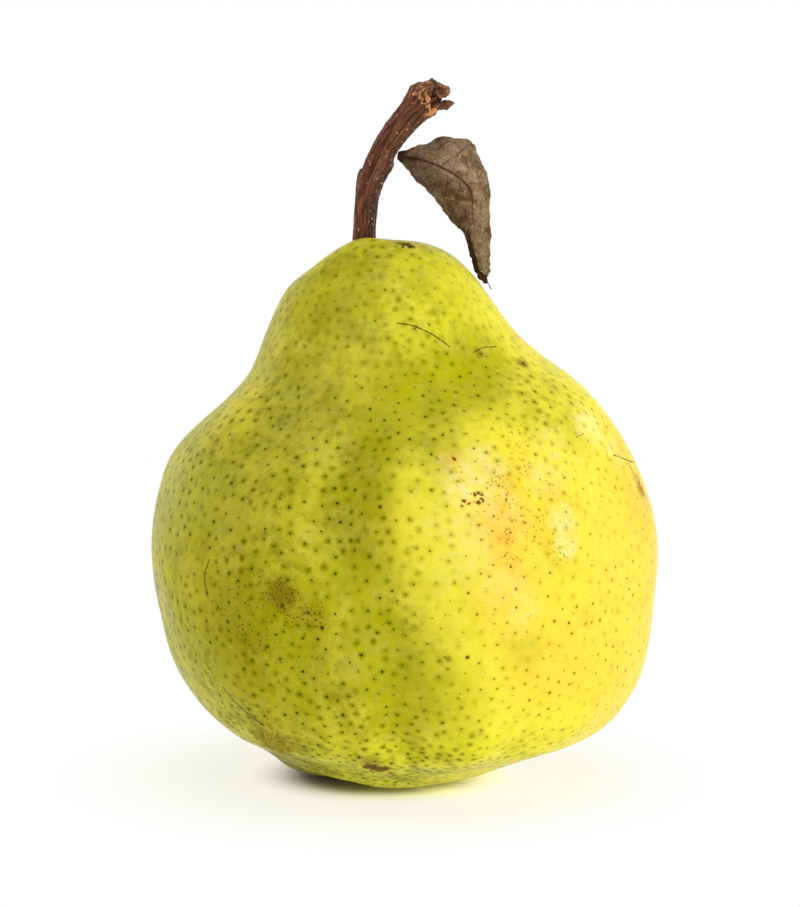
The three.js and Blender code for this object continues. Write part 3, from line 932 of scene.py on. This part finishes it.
# Torn wood that sticks out past the bark: how tan it is, then its stations as above.
TORN_WOOD = {
    "upper_jaw": (0.34, [
        (8.6, 2.6, 24.6, 1.0, 1.2), (10.2, 2.7, 26.2, 1.25, 1.6), (11.4, 2.7, 27.1, 1.25, 1.7),
        (12.7, 2.7, 27.5, 1.15, 1.5), (13.9, 2.6, 27.0, 1.05, 1.3), (14.8, 2.6, 26.6, 0.95, 1.0),
        (15.2, 2.6, 26.4, 0.3, 0.3),
    ]),
    "lower_jaw": (0.18, [
        (11.4, 2.6, 24.5, 0.9, 1.3), (12.8, 2.4, 24.6, 0.75, 1.1), (13.8, 2.3, 24.7, 0.70, 1.0),
        (14.7, 2.3, 24.8, 0.75, 0.9), (15.4, 2.2, 24.9, 0.45, 0.5), (16.0, 2.2, 25.0, 0.05, 0.05),
    ]),
    "hollow_floor": (0.32, [
        (11.2, 3.4, 25.2, 1.5, 0.8), (12.9, 3.5, 25.8, 1.2, 0.7), (14.0, 3.5, 25.9, 0.6, 0.5),
    ]),
    "front_fibre": (1.0, [
        (11.3, 0.75, 27.2, 0.15, 0.1), (11.6, 0.55, 26.3, 0.34, 0.2), (11.9, 0.5, 25.3, 0.36, 0.2),
        (12.0, 0.6, 24.2, 0.22, 0.15), (12.0, 0.8, 23.7, 0.05, 0.05),
    ]),
    "low_chip": (1.0, [
        (11.3, 0.9, 23.0, 0.2, 0.2), (12.1, 0.9, 23.5, 0.42, 0.3), (12.9, 1.2, 24.0, 0.3, 0.25),
        (13.2, 1.4, 24.3, 0.05, 0.05),
    ]),
    "top_chip": (0.9, [
        (9.4, 1.1, 26.3, 0.2, 0.2), (10.4, 0.9, 26.9, 0.42, 0.3), (11.4, 1.0, 27.4, 0.3, 0.25),
        (12.2, 1.2, 28.0, 0.05, 0.05),
    ]),
    "peak": (0.4, [
        (12.0, 2.8, 27.9, 0.6, 0.6), (12.4, 2.8, 28.5, 0.32, 0.3), (12.5, 2.8, 28.9, 0.05, 0.05),
    ]),
}
SPLINTERS = 26
LONG_CRACKS = 46


def long_cracks(turn, height, count):
    """How deep in one of a number of long wandering cracks each point of the bark is, from 0 to 1."""
    depth = 0 * (turn + height)
    for _ in range(count):
        start, length = random.uniform(-4, 24), random.uniform(4, 14)
        bends = random.uniform(-14, 14, 2)
        way = random.uniform(0, 360) + bends[0] * np.sin(0.35 * height) + bends[1] * np.sin(0.9 * height)
        inside = smooth(height, start, start + 1.5) * smooth(height, start + length, start + length - 1.5)
        line = bell(turn_between(turn, way), random.uniform(1.8, 4.5)) * inside
        depth = np.maximum(depth, random.uniform(0.4, 1.0) * line)
    return depth


def stalk_relief(bark, turn, height):
    """How far the bark stands out, in mm, and how deep in a crack each point is, from 0 to 1."""
    fibres = bark * [1, 1, 0.10]
    cracks = long_cracks(turn, height, LONG_CRACKS)
    pits = smooth(noise(bark * [1, 1, 0.45], 0.6 * MM, 35), 0.45, 0.75)
    relief = 0.13 * noise(fibres, 1.2 * MM, 31) + 0.08 * noise(fibres, 0.45 * MM, 32)
    relief = relief + 0.10 * rough(bark * [1, 1, 0.6], 1.6 * MM, 33) + 0.05 * noise(bark, 0.4 * MM, 34)
    # A ledge on the left where a strip of bark ends, and the spur on the right that the leaf grew from.
    ledge = smooth(height, 8.5, 13.6) * smooth(height, 14.2, 13.9) * bell(turn_between(turn, 180), 50)
    above = np.where(height > 16.3, 0.6, 3.2)
    spur = bell(height - 16.3, above) * bell(turn_between(turn, -8), 30)
    dark = np.maximum(cracks, 0.6 * pits)
    return relief - 0.20 * cracks - 0.06 * pits + 0.38 * ledge + 0.5 * spur, dark


def make_bark(corner):
    line, offsets, bark = rod(corner, STALK_STATIONS, STALK_ROWS, STALK_AROUND)
    turns = np.linspace(0, 360, STALK_AROUND, endpoint=False)
    height = (line[:, None, 2] - corner[2]) / MM
    relief, cracks = stalk_relief(bark, turns, height)
    reach = np.linalg.norm(offsets, axis=2, keepdims=True)
    offsets = offsets * (1 + relief[..., None] * MM / reach)
    # The bark's torn edge is ragged, and the wood inside it has fallen in.
    along = rod_frames(line)[0][-1]
    edge = 0.45 * noise(bark[-1], 0.9 * MM, 38) + 0.35 * noise(bark[-1], 0.35 * MM, 39)
    near_end = smooth(np.linspace(0, 1, STALK_ROWS), 0.93, 1.0)[:, None]
    rows = line[:, None] + offsets + (near_end * edge * MM)[..., None] * along
    bowl = []
    for share, back in TORN_BOWL:
        bumps = 0.25 * noise(bark[-1] * share, 0.7 * MM, 40) * MM
        depth = (edge * share**3 - back) * MM + bumps
        bowl.append(line[-1] + offsets[-1] * share + depth[:, None] * along)
    rows = np.concatenate([rows, bowl])
    bark = np.concatenate([bark, [bark[-1] * share for share, _ in TORN_BOWL]])
    inside = np.concatenate([0.9 * near_end[:, 0] ** 6, np.full(len(TORN_BOWL), 0.3)])[:, None]
    # The fallen-in end is painted dark: painted shade in the hollow.
    cracks = np.concatenate([cracks, np.full((len(TORN_BOWL), STALK_AROUND), 0.8)])
    return rod_object("woody_stalk", rows, bark, torn=inside, crack=cracks)


def make_torn_piece(name, corner, stations, tan, count=70, around=56):
    """A ragged piece of torn wood."""
    line, offsets, bark = rod(corner, stations, count, around)
    fibres = line[:, None] + offsets + bark * [0, 0, -0.5]
    ragged = 0.36 * rough(fibres, 1.1 * MM, 43) + 0.16 * noise(bark * [1, 1, 0.3], 0.4 * MM, 44)
    rows = line[:, None] + offsets * (1 + ragged)[..., None]
    # Where the ragged wood sinks in it is painted dark: painted shade in its hollows.
    hollow_shade = smooth(ragged, -0.02, -0.22)
    return rod_object(name, rows, bark, torn=tan, crack=hollow_shade)


def make_splinters(corner):
    """Short stiff fibres round the torn edge."""
    line, offsets, _ = rod(corner, STALK_STATIONS, 40, 60)
    along = rod_frames(line)[0][-1]
    parts = []
    for number in range(SPLINTERS):
        foot = (line[-1] + offsets[-1, random.integers(60)] * random.uniform(0.72, 0.98) - corner) / MM
        tip = along * random.uniform(0.3, 1.3) + random.normal(0, 0.22, 3)
        thick = random.uniform(0.07, 0.17)
        stations = [
            (*(foot - 0.5 * along), thick, thick),
            (*(foot + 0.5 * tip), 0.9 * thick, 0.7 * thick),
            (*(foot + tip), 0.02, 0.02),
        ]
        tan = random.uniform(0.2, 1.0)
        parts.append(make_torn_piece(f"splinter_{number}", corner, stations, tan, 14, 10))
    return parts


def make_stalk():
    corner = np.array(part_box("stalk")[0])
    parts = [make_bark(corner)]
    parts += [make_torn_piece(name, corner, stations, tan) for name, (tan, stations) in TORN_WOOD.items()]
    return join("woody_stalk", parts + make_splinters(corner))


BARK_RED = colour(116, 62, 34)
BARK_BROWN = colour(86, 54, 32)
BARK_DARK = colour(46, 31, 24)
BARK_LIGHT = colour(160, 104, 64)
CRACK = colour(26, 16, 12)
FLECK = colour(214, 150, 98)
TORN_TAN = colour(200, 136, 84)
TORN_BROWN = colour(100, 60, 42)


def stalk_material():
    g = Graph(bpy.data.materials.new("stalk_wood"))
    bark = g.stored_vector("bark")
    lengthwise = g.drawn_out(bark, 0.13)
    fibres = g.noise(0.42 * MM, 4, 0.6, lengthwise)
    patches = g.noise(1.9 * MM, 3, 0.6, g.drawn_out(bark, 0.4))
    across = g.put("ShaderNodeSeparateXYZ", {0: bark}).outputs[0]
    left = g.ramp(g.plus(across, g.times(g.plus(patches, -0.5), 4 * MM)), 1.6 * MM, -1.4 * MM)
    base = g.mix(left, BARK_BROWN, BARK_RED)
    along = g.put("ShaderNodeSeparateXYZ", {0: bark}).outputs[2]
    low_right = g.times(g.ramp(across, -0.2 * MM, 1.2 * MM), g.ramp(along, 16 * MM, 9 * MM))
    base = g.paint(base, BARK_DARK, low_right, 0.72)
    base = g.paint(base, BARK_DARK, g.ramp(fibres, 0.54, 0.36), 0.8)
    streaks = g.noise(0.3 * MM, 3, 0.6, g.drawn_out(bark, 0.08))
    base = g.paint(base, BARK_LIGHT, g.ramp(streaks, 0.52, 0.68), 0.45)
    base = g.paint(base, BARK_LIGHT, g.ramp(patches, 0.52, 0.72), 0.5)
    base = g.paint(base, BARK_DARK, g.ramp(patches, 0.46, 0.30), 0.5)
    # Dark in the bark's cracks and pits; painted shade in the torn wood's hollows and fallen-in end.
    crack = g.stored("crack")
    base = g.paint(base, CRACK, crack, 0.8)
    flecks = g.ramp(g.noise(0.42 * MM, 2, 0.5, g.drawn_out(bark, 0.6)), 0.64, 0.72)
    base = g.paint(base, FLECK, flecks, 0.75)
    # Torn wood, from brown to tan, with painted shade in its hollows.
    torn = g.stored("torn")
    grain = g.noise(0.5 * MM, 4, 0.7, g.drawn_out(bark, 0.4))
    wood = g.mix(g.ramp(g.plus(grain, g.times(torn, 0.4)), 0.62, 0.80), TORN_BROWN, TORN_TAN)
    wood = g.paint(wood, CRACK, crack, 0.75)
    base = g.mix(g.ramp(torn, 0.0, 0.12), base, wood)
    height = g.plus(g.noise(0.3 * MM, 4, 0.7, lengthwise), g.times(fibres, 1.2))
    rough_bark = g.ramp(fibres, 0.3, 0.7, 0.62, 0.42)
    return g.finish(base, rough_bark, g.bump(height, 0.10 * MM), IOR=1.45, Specular_IOR_Level=0.2)


# ---- the leaf ----------------------------------------------------------------------------------

LEAF_ALONG = 290
LEAF_ACROSS = 132
LEAF_THICKNESS = 0.20 * MM
# How the blade's two margins and its midrib run, from its stub to its torn tail, in mm from the low
# corner of its solid's box.
LEAF_LINES = {
    "upper margin": [
        (-0.3, 1.8, 19.3), (3.5, 2.5, 20.2), (7.0, 3.0, 21.5), (10.7, 3.3, 20.6), (13.6, 3.6, 16.0),
        (13.9, 3.9, 10.5), (14.0, 4.2, 6.0), (14.3, 5.0, 0.0)
    ],
    "midrib": [
        (-0.4, 1.6, 18.7), (3.0, 1.2, 18.2), (6.2, 0.5, 17.1), (9.0, 0.3, 15.5), (11.0, 0.9, 13.2),
        (11.2, 2.3, 9.6), (11.8, 3.2, 5.8), (13.0, 4.4, 0.0)
    ],
    "lower margin": [
        (-0.3, 1.8, 18.3), (1.8, 2.5, 16.1), (3.6, 2.7, 13.8), (5.5, 2.9, 11.6), (7.4, 3.1, 9.0),
        (9.8, 3.4, 6.8), (10.6, 3.9, 4.6), (12.2, 5.5, 0.1)
    ],
}
# A scrap that hangs from the tail, and a thread on it: places and half-widths, in mm from that corner.
SCRAP = [(12.4, 4.9, 0.4, 0.25, 0.08), (12.7, 4.9, -0.2, 0.55, 0.10), (13.2, 4.8, -0.9, 0.50, 0.09),
         (13.8, 4.8, -1.5, 0.10, 0.05)]
THREAD = [(13.2, 4.8, -1.0, 0.08, 0.06), (13.9, 4.8, -1.5, 0.07, 0.06), (14.1, 4.7, -2.1, 0.06, 0.05),
          (14.4, 4.7, -2.4, 0.03, 0.03)]


def leaf_sheet(corner):
    """The blade's middle surface, rows along it and points across it."""
    lines = np.array([curve_through(line, LEAF_ALONG) for line in LEAF_LINES.values()])
    sheet = corner + np.array([curve_through(lines[:, i], LEAF_ACROSS) for i in range(LEAF_ALONG)]) * MM
    share, over = np.meshgrid(*(np.linspace(0, 1, n) for n in sheet.shape[:2]), indexing="ij")
    # The margins are wavy with small nicks, and the tail's end is torn.
    along, across = np.gradient(sheet, axis=0), np.gradient(sheet, axis=1)
    across = across / np.linalg.norm(across, axis=2, keepdims=True)
    along = along / np.linalg.norm(along, axis=2, keepdims=True)
    waves = 0.32 * noise(sheet, 1.7 * MM, 45) + 0.16 * noise(sheet, 0.5 * MM, 46)
    at_margin = smooth(np.abs(over - 0.5), 0.36, 0.5) * smooth(share, 0.03, 0.12)
    tear = 0.55 * noise(sheet * [1, 1, 0], 0.8 * MM, 47) + 0.3 * noise(sheet * [1, 1, 0], 0.3 * MM, 48)
    at_end = smooth(share, 0.94, 1.0)
    sheet = sheet + (waves * at_margin * np.sign(over - 0.5) * MM)[..., None] * across
    return sheet + (tear * at_end * MM)[..., None] * along, share, over


def leaf_veins(sheet, share, over):
    """The midrib, the side veins and the net between them, each from 0 to 1."""
    from_rib = over - 0.5
    width = np.linalg.norm(np.diff(sheet, axis=1), axis=2).sum(1, keepdims=True) / MM
    fading = smooth(share, 0.92, 0.55)
    rib = bell(from_rib * width, 0.09 + 0.16 * fading) * (0.35 + 0.65 * fading)
    wander = 0.22 * noise(sheet, 2.5 * MM, 49)
    sides = np.cos(2 * math.pi * (8.5 * share + wander - 3.2 * np.abs(from_rib) + 0.25 * np.sign(from_rib)))
    sides = smooth(sides, 0.955, 1.0) * smooth(np.abs(from_rib), 0.0, 0.04) * smooth(share, 0.8, 0.6)
    sides = sides * smooth(noise(sheet, 1.5 * MM, 51), -0.4, 0.3)
    points = sheet.reshape(-1, 3)
    net = np.zeros(len(points))
    for spacing, strength in ((1.9 * MM, 0.9), (0.75 * MM, 0.35)):
        seeds = points[scatter(points[::7], np.zeros(len(points)), spacing) * 7]
        near = tree_of(seeds)
        gaps = np.array([[found[2] for found in near.find_n(point, 2)] for point in points])
        net = np.maximum(net, strength * smooth((gaps[:, 1] - gaps[:, 0]) / MM, 0.16, 0.02))
    return rib, sides, net.reshape(share.shape) * smooth(share, 0.02, 0.10)


def sheet_object(name, front, back):
    """A closed piece between two grids of points."""
    rows, columns = front.shape[:2]
    count = rows * columns
    index = np.arange(count).reshape(rows, columns)
    corners = index[:-1, :-1], index[:-1, 1:], index[1:, 1:], index[1:, :-1]
    quads = np.stack(corners, axis=-1).reshape(-1, 4)
    rim = np.concatenate([index[0, :-1], index[:-1, -1], index[-1, :0:-1], index[:0:-1, 0]])
    after = np.roll(rim, -1)
    walls = np.stack([rim, rim + count, after + count, after], axis=-1)
    faces = quads.tolist() + (quads[:, ::-1] + count).tolist() + walls.tolist()
    return make_object(name, np.vstack([front.reshape(-1, 3), back.reshape(-1, 3)]), faces)


def make_scrap(name, corner, stations):
    line, offsets, bark = rod(corner, stations, 30, 24)
    rows = line[:, None] + offsets * (1 + 0.5 * noise(line[:, None] + offsets, 0.5 * MM, 50))[..., None]
    scrap = rod_object(name, rows, bark, vein=0.3, dark=0.85)
    scrap.data.attributes.remove(scrap.data.attributes["bark"])
    return scrap


def make_leaf():
    corner = np.array(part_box("leaf")[0])
    sheet, share, over = leaf_sheet(corner)
    rib, sides, net = leaf_veins(sheet, share, over)
    out = np.cross(np.gradient(sheet, axis=1), np.gradient(sheet, axis=0))
    out /= np.linalg.norm(out, axis=2, keepdims=True)
    # The blade is puckered between its veins, more so towards its margins.
    edge = smooth(np.abs(over - 0.5), 0.25, 0.5)
    folds = 0.32 * noise(sheet, 2.6 * MM, 41) + 0.18 * noise(sheet, 1.1 * MM, 42)
    relief = folds * (0.45 + edge) - 0.20 * rib - 0.12 * sides - 0.06 * net
    sheet = sheet + (relief * MM * smooth(share, 0, 0.05))[..., None] * out
    half = 0.5 * LEAF_THICKNESS * (1 + 1.2 * rib + 2.2 * smooth(share, 0.07, 0.0))[..., None]
    leaf = sheet_object("dried_leaf", sheet + out * half, sheet - out * half)
    # Darker at the stub; painted shade on the rolled margin, the lower half, the edges and both ends.
    stub = np.maximum(smooth(share, 0.09, 0.03), smooth(share, 0.24, 0.09) * bell(over - 0.54, 0.2))
    rolled_shade = smooth(over, 0.68, 0.73) * smooth(share, 0.72, 0.80)
    painted_shade = 0.26 * smooth(over, 0.5, 0.75) + 0.12 * edge + 0.3 * smooth(share, 0.4, 0.1)
    painted_shade = painted_shade + 0.15 * smooth(share, 0.66, 0.8)
    give(leaf, "vein", np.tile(np.max([rib, 0.5 * sides, 0.55 * net], axis=0).ravel(), 2))
    give(leaf, "dark", np.tile(np.max([stub, 0.95 * rolled_shade, painted_shade], axis=0).ravel(), 2))
    scraps = [make_scrap("scrap", corner, SCRAP), make_scrap("thread", corner, THREAD)]
    return join("dried_leaf", [leaf, *scraps])


LEAF_BROWN = colour(152, 126, 95)
LEAF_DARK = colour(48, 32, 24)
LEAF_UMBER = colour(108, 80, 52)
LEAF_PALE = colour(214, 188, 148)
VEIN = colour(54, 32, 22)


def leaf_material():
    g = Graph(bpy.data.materials.new("dried_leaf"))
    broad = g.noise(3 * MM, 4, 0.6)
    mottle = g.noise(0.9 * MM, 4, 0.7)
    base = g.mix(g.ramp(broad, 0.62, 0.36), LEAF_BROWN, LEAF_UMBER)
    base = g.paint(base, LEAF_PALE, g.ramp(mottle, 0.50, 0.75), 0.6)
    base = g.paint(base, LEAF_DARK, g.ramp(mottle, 0.46, 0.28), 0.5)
    # Darker at the stub; painted shade on the rolled margin, the lower half, the edges and both ends.
    base = g.mix(g.stored("dark"), base, LEAF_DARK)
    base = g.paint(base, VEIN, g.stored("vein"), 0.95)
    height = g.plus(g.noise(0.45 * MM, 5, 0.7), g.times(mottle, 0.8))
    return g.finish(base, 0.7, g.bump(height, 0.12 * MM), IOR=1.4, Specular_IOR_Level=0.12)


# ---- the calyx ---------------------------------------------------------------------------------


SEPALS = 5
STAMENS = 22
# How far a sepal bends over on its way out and down, in radians.
SEPAL_CURL = 1.9
CALYX_DARK = colour(38, 28, 20)
CALYX_TAN = colour(104, 78, 50)


def make_sepal(name):
    """A dry curled sepal, fitted to its solid's box and leaning the way it does."""
    low, high = (np.array(corner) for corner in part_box(name))
    flower = np.mean(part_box("dried_flower"), axis=0)
    middle = (low + high) / 2
    out = (middle - flower) * [1, 1, 0]
    out /= np.linalg.norm(out)
    side = np.array([-out[1], out[0], 0])
    along = np.linspace(0, 1, 26)
    turns = np.linspace(0, 2 * math.pi, 20, endpoint=False)
    start = flower * [1, 1, 0] + out * 1.9 * MM + [0, 0, high[2] - 0.5 * MM]
    reach = 2.7 * np.sin(SEPAL_CURL * along) * MM
    drop = 1.75 * (1 - np.cos(SEPAL_CURL * along)) * MM
    centre = start + reach[:, None] * out - drop[:, None] * [0, 0, 1]
    wide = (1.5 * (1 - along) ** 0.7 * (0.6 + 0.6 * along) + 0.08) * MM
    rows = centre[:, None] + (wide[:, None] * np.cos(turns))[..., None] * side
    lift = 0.24 * np.sin(turns) + 0.5 * np.cos(turns) ** 2 * (1 - along[:, None])
    rows = rows + (lift * MM)[..., None] * [0, 0, 1]
    rows = rows + 0.12 * MM * noise(rows, 0.8 * MM, 51)[..., None] * [0, 0, 1]
    return tube_object(name + "_blade", rows)


def make_tuft():
    """Dried stamens in a bunch round the middle of the flower."""
    low, high = (np.array(corner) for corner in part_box("dried_flower"))
    middle = (low + high) / 2
    parts = []
    turns = np.linspace(0, 2 * math.pi, 8, endpoint=False)
    for i in range(STAMENS):
        angle, lean = random.uniform(0, 2 * math.pi), random.uniform(0.1, 1.0)
        out = np.array([math.cos(angle), math.sin(angle), 0])
        share = np.linspace(0, 1, 10)
        line = middle * [1, 1, 0] + out * ((0.25 + 1.0 * lean * share) * MM)[:, None]
        line[:, 2] = high[2] + 0.2 * MM - share * random.uniform(1.5, 2.2) * MM * (1 - 0.2 * lean)
        thick = (0.16 + 0.12 * (share > 0.82)) * MM
        ring = np.stack([np.cos(turns), np.sin(turns), 0 * turns], axis=1)
        parts.append(tube_object(f"stamen_{i}", line[:, None] + thick[:, None, None] * ring))
    return join("dried_stamens", parts)


def calyx_material():
    g = Graph(bpy.data.materials.new("calyx"))
    base = g.mix(g.ramp(g.noise(0.6 * MM, 4, 0.7), 0.35, 0.68), CALYX_DARK, CALYX_TAN)
    return g.finish(base, 0.85, g.bump(g.noise(0.25 * MM, 3, 0.7), 0.1 * MM), IOR=1.4)


# ---- the floor, the light and the camera -------------------------------------------------------


def seen_directly(g):
    """A socket that is 1 for what the eye, a gloss or a glass sees, and 0 for what lights the rest."""
    path = g.put("ShaderNodeLightPath").outputs
    bounced = g.sum("MAXIMUM", path["Is Glossy Ray"], path["Is Transmission Ray"])
    return g.sum("MAXIMUM", path["Is Camera Ray"], bounced)


def make_world(strength):
    world = bpy.data.worlds.new("studio")
    bpy.context.scene.world = world
    world.use_nodes = True
    g = Graph(world)
    background = g.tree.nodes["Background"]
    background.inputs["Color"].default_value = (1, 1, 1, 1)
    g.feed(background.inputs["Strength"], g.ramp(seen_directly(g), 0, 1, strength, 1.0))


# A white table, lit from inside. Past the pear it shows cream, then the white of the backdrop.
TABLE_WHITE = (0.88, 0.88, 0.88, 1)
TABLE_GLOW = 0.85
CREAM = (0.955, 0.95, 0.85, 1)
BACKDROP_WHITE = (1, 1, 1, 1)
# Where the pear stands, and the middle of its shade on the table.
STANDS_AT = (-3.5 * MM, 1 * MM, 0)
SHADED_AT = (-18 * MM, 4 * MM, 0)
# The table as the camera sees it: a painted contact shadow under the pear, painted light beside it.
TABLE_UNDER_SHADOW = (0.52, 0.52, 0.52, 1)
# Beside it the colour is over 1 and bluer, so the pear's shadow and yellow bounce fade out.
TABLE_BESIDE = (1.6, 1.6, 2.1, 1)


def make_floor():
    floor = make_object("floor", [(-3, -3, 0), (3, -3, 0), (3, 3, 0), (-3, 3, 0)], [(0, 1, 2, 3)])
    g = Graph(bpy.data.materials.new("floor"))
    seen = seen_directly(g)
    away = g.vector("DISTANCE", g.place, STANDS_AT)
    # Painted contact shadow under the pear, painted light beside it.
    shown = g.mix(g.ramp(away, 10.5 * MM, 17.5 * MM), TABLE_UNDER_SHADOW, TABLE_BESIDE)
    shade = g.put("ShaderNodeBsdfDiffuse", {"Color": g.mix(seen, TABLE_WHITE, shown)})
    glow = g.mix(g.ramp(away, 30 * MM, 55 * MM), CREAM, BACKDROP_WHITE)
    white = g.put("ShaderNodeEmission", {"Color": glow, "Strength": 1.0})
    near = g.ramp(away, 12.5 * MM, 22 * MM, 0.0, 0.85)
    far = g.ramp(away, 26 * MM, 50 * MM, 0.0, 0.15)
    lit = g.ramp(g.vector("DISTANCE", g.place, SHADED_AT), 10 * MM, 28 * MM, 0.0, TABLE_GLOW)
    share = g.mix(seen, lit, g.plus(near, far))
    mixed = g.put("ShaderNodeMixShader", {0: share, 1: shade.outputs[0], 2: white.outputs[0]})
    g.tree.links.new(mixed.outputs[0], g.tree.nodes["Material Output"].inputs["Surface"])
    floor.data.materials.append(g.material)


# Studio lamps: direction and elevation in degrees, distance and size in metres, and power in watts.
LAMPS = {
    "key": (52, 5, 0.75, (0.4, 0.3), 3.15),
    "side": (105, 8, 0.75, (0.4, 0.5), 1.0),
    "back_left": (-125, 14, 0.75, (0.4, 0.5), 1.0),
    "top": (0, 86, 0.8, (0.5, 0.5), 2.3),
}
WORLD_STRENGTH = 0.40
# The share of the pear's height that the lamps aim at.
LAMP_AIM = 0.45


def add_softbox(name, turn, elevation, distance, size, power, target):
    """An area lamp that faces the target. turn is 0 in front and 90 on the right, in degrees."""
    lamp = bpy.data.lights.new(name, "AREA")
    lamp.shape = "RECTANGLE"
    lamp.size, lamp.size_y = size
    lamp.energy = power
    holder = bpy.data.objects.new(name, lamp)
    turn, elevation = math.radians(turn), math.radians(elevation)
    flat = math.cos(elevation)
    out = Vector((math.sin(turn) * flat, -math.cos(turn) * flat, math.sin(elevation)))
    holder.location = target + distance * out
    holder.rotation_euler = out.to_track_quat("Z", "Y").to_euler()
    bpy.context.scene.collection.objects.link(holder)


CAMERA_DISTANCE = 0.6
CAMERA_ELEVATION = math.radians(8)
CAMERA_FIELD = 142.8 * MM
# Where it looks: how far from the middle, and at what share of the pear's height.
CAMERA_ACROSS = -0.79 * MM
CAMERA_AIM = 0.469


def make_camera(target):
    camera = bpy.data.cameras.new("camera")
    camera.sensor_width = 36
    camera.lens = camera.sensor_width * CAMERA_DISTANCE / CAMERA_FIELD
    camera.clip_start = 0.01
    holder = bpy.data.objects.new("camera", camera)
    out = Vector((0, -math.cos(CAMERA_ELEVATION), math.sin(CAMERA_ELEVATION)))
    holder.location = target + CAMERA_DISTANCE * out
    holder.rotation_euler = out.to_track_quat("Z", "Y").to_euler()
    bpy.context.scene.collection.objects.link(holder)
    bpy.context.scene.camera = holder


# ---- the scene ---------------------------------------------------------------------------------

high = Vector(cad_box[1])
make_camera(Vector((CAMERA_ACROSS, 0, CAMERA_AIM * high.z)))
make_world(WORLD_STRENGTH)
make_floor()
for name, numbers in LAMPS.items():
    add_softbox(name, *numbers, Vector((0, 0, LAMP_AIM * high.z)))

fruit = make_fruit()
mark_skin(fruit)
place(fruit, "skin", skin_material(), "fruit")
place(make_stalk(), "stalk_wood", stalk_material(), "stalk")
place(make_leaf(), "dried_leaf", leaf_material(), "leaf")
dry = calyx_material()
for number in range(1, SEPALS + 1):
    place(make_sepal(f"sepal_{number}"), "calyx", dry, f"sepal_{number}")
place(make_tuft(), "calyx", dry, "dried_flower")

bpy.context.scene.view_settings.view_transform = "Standard"
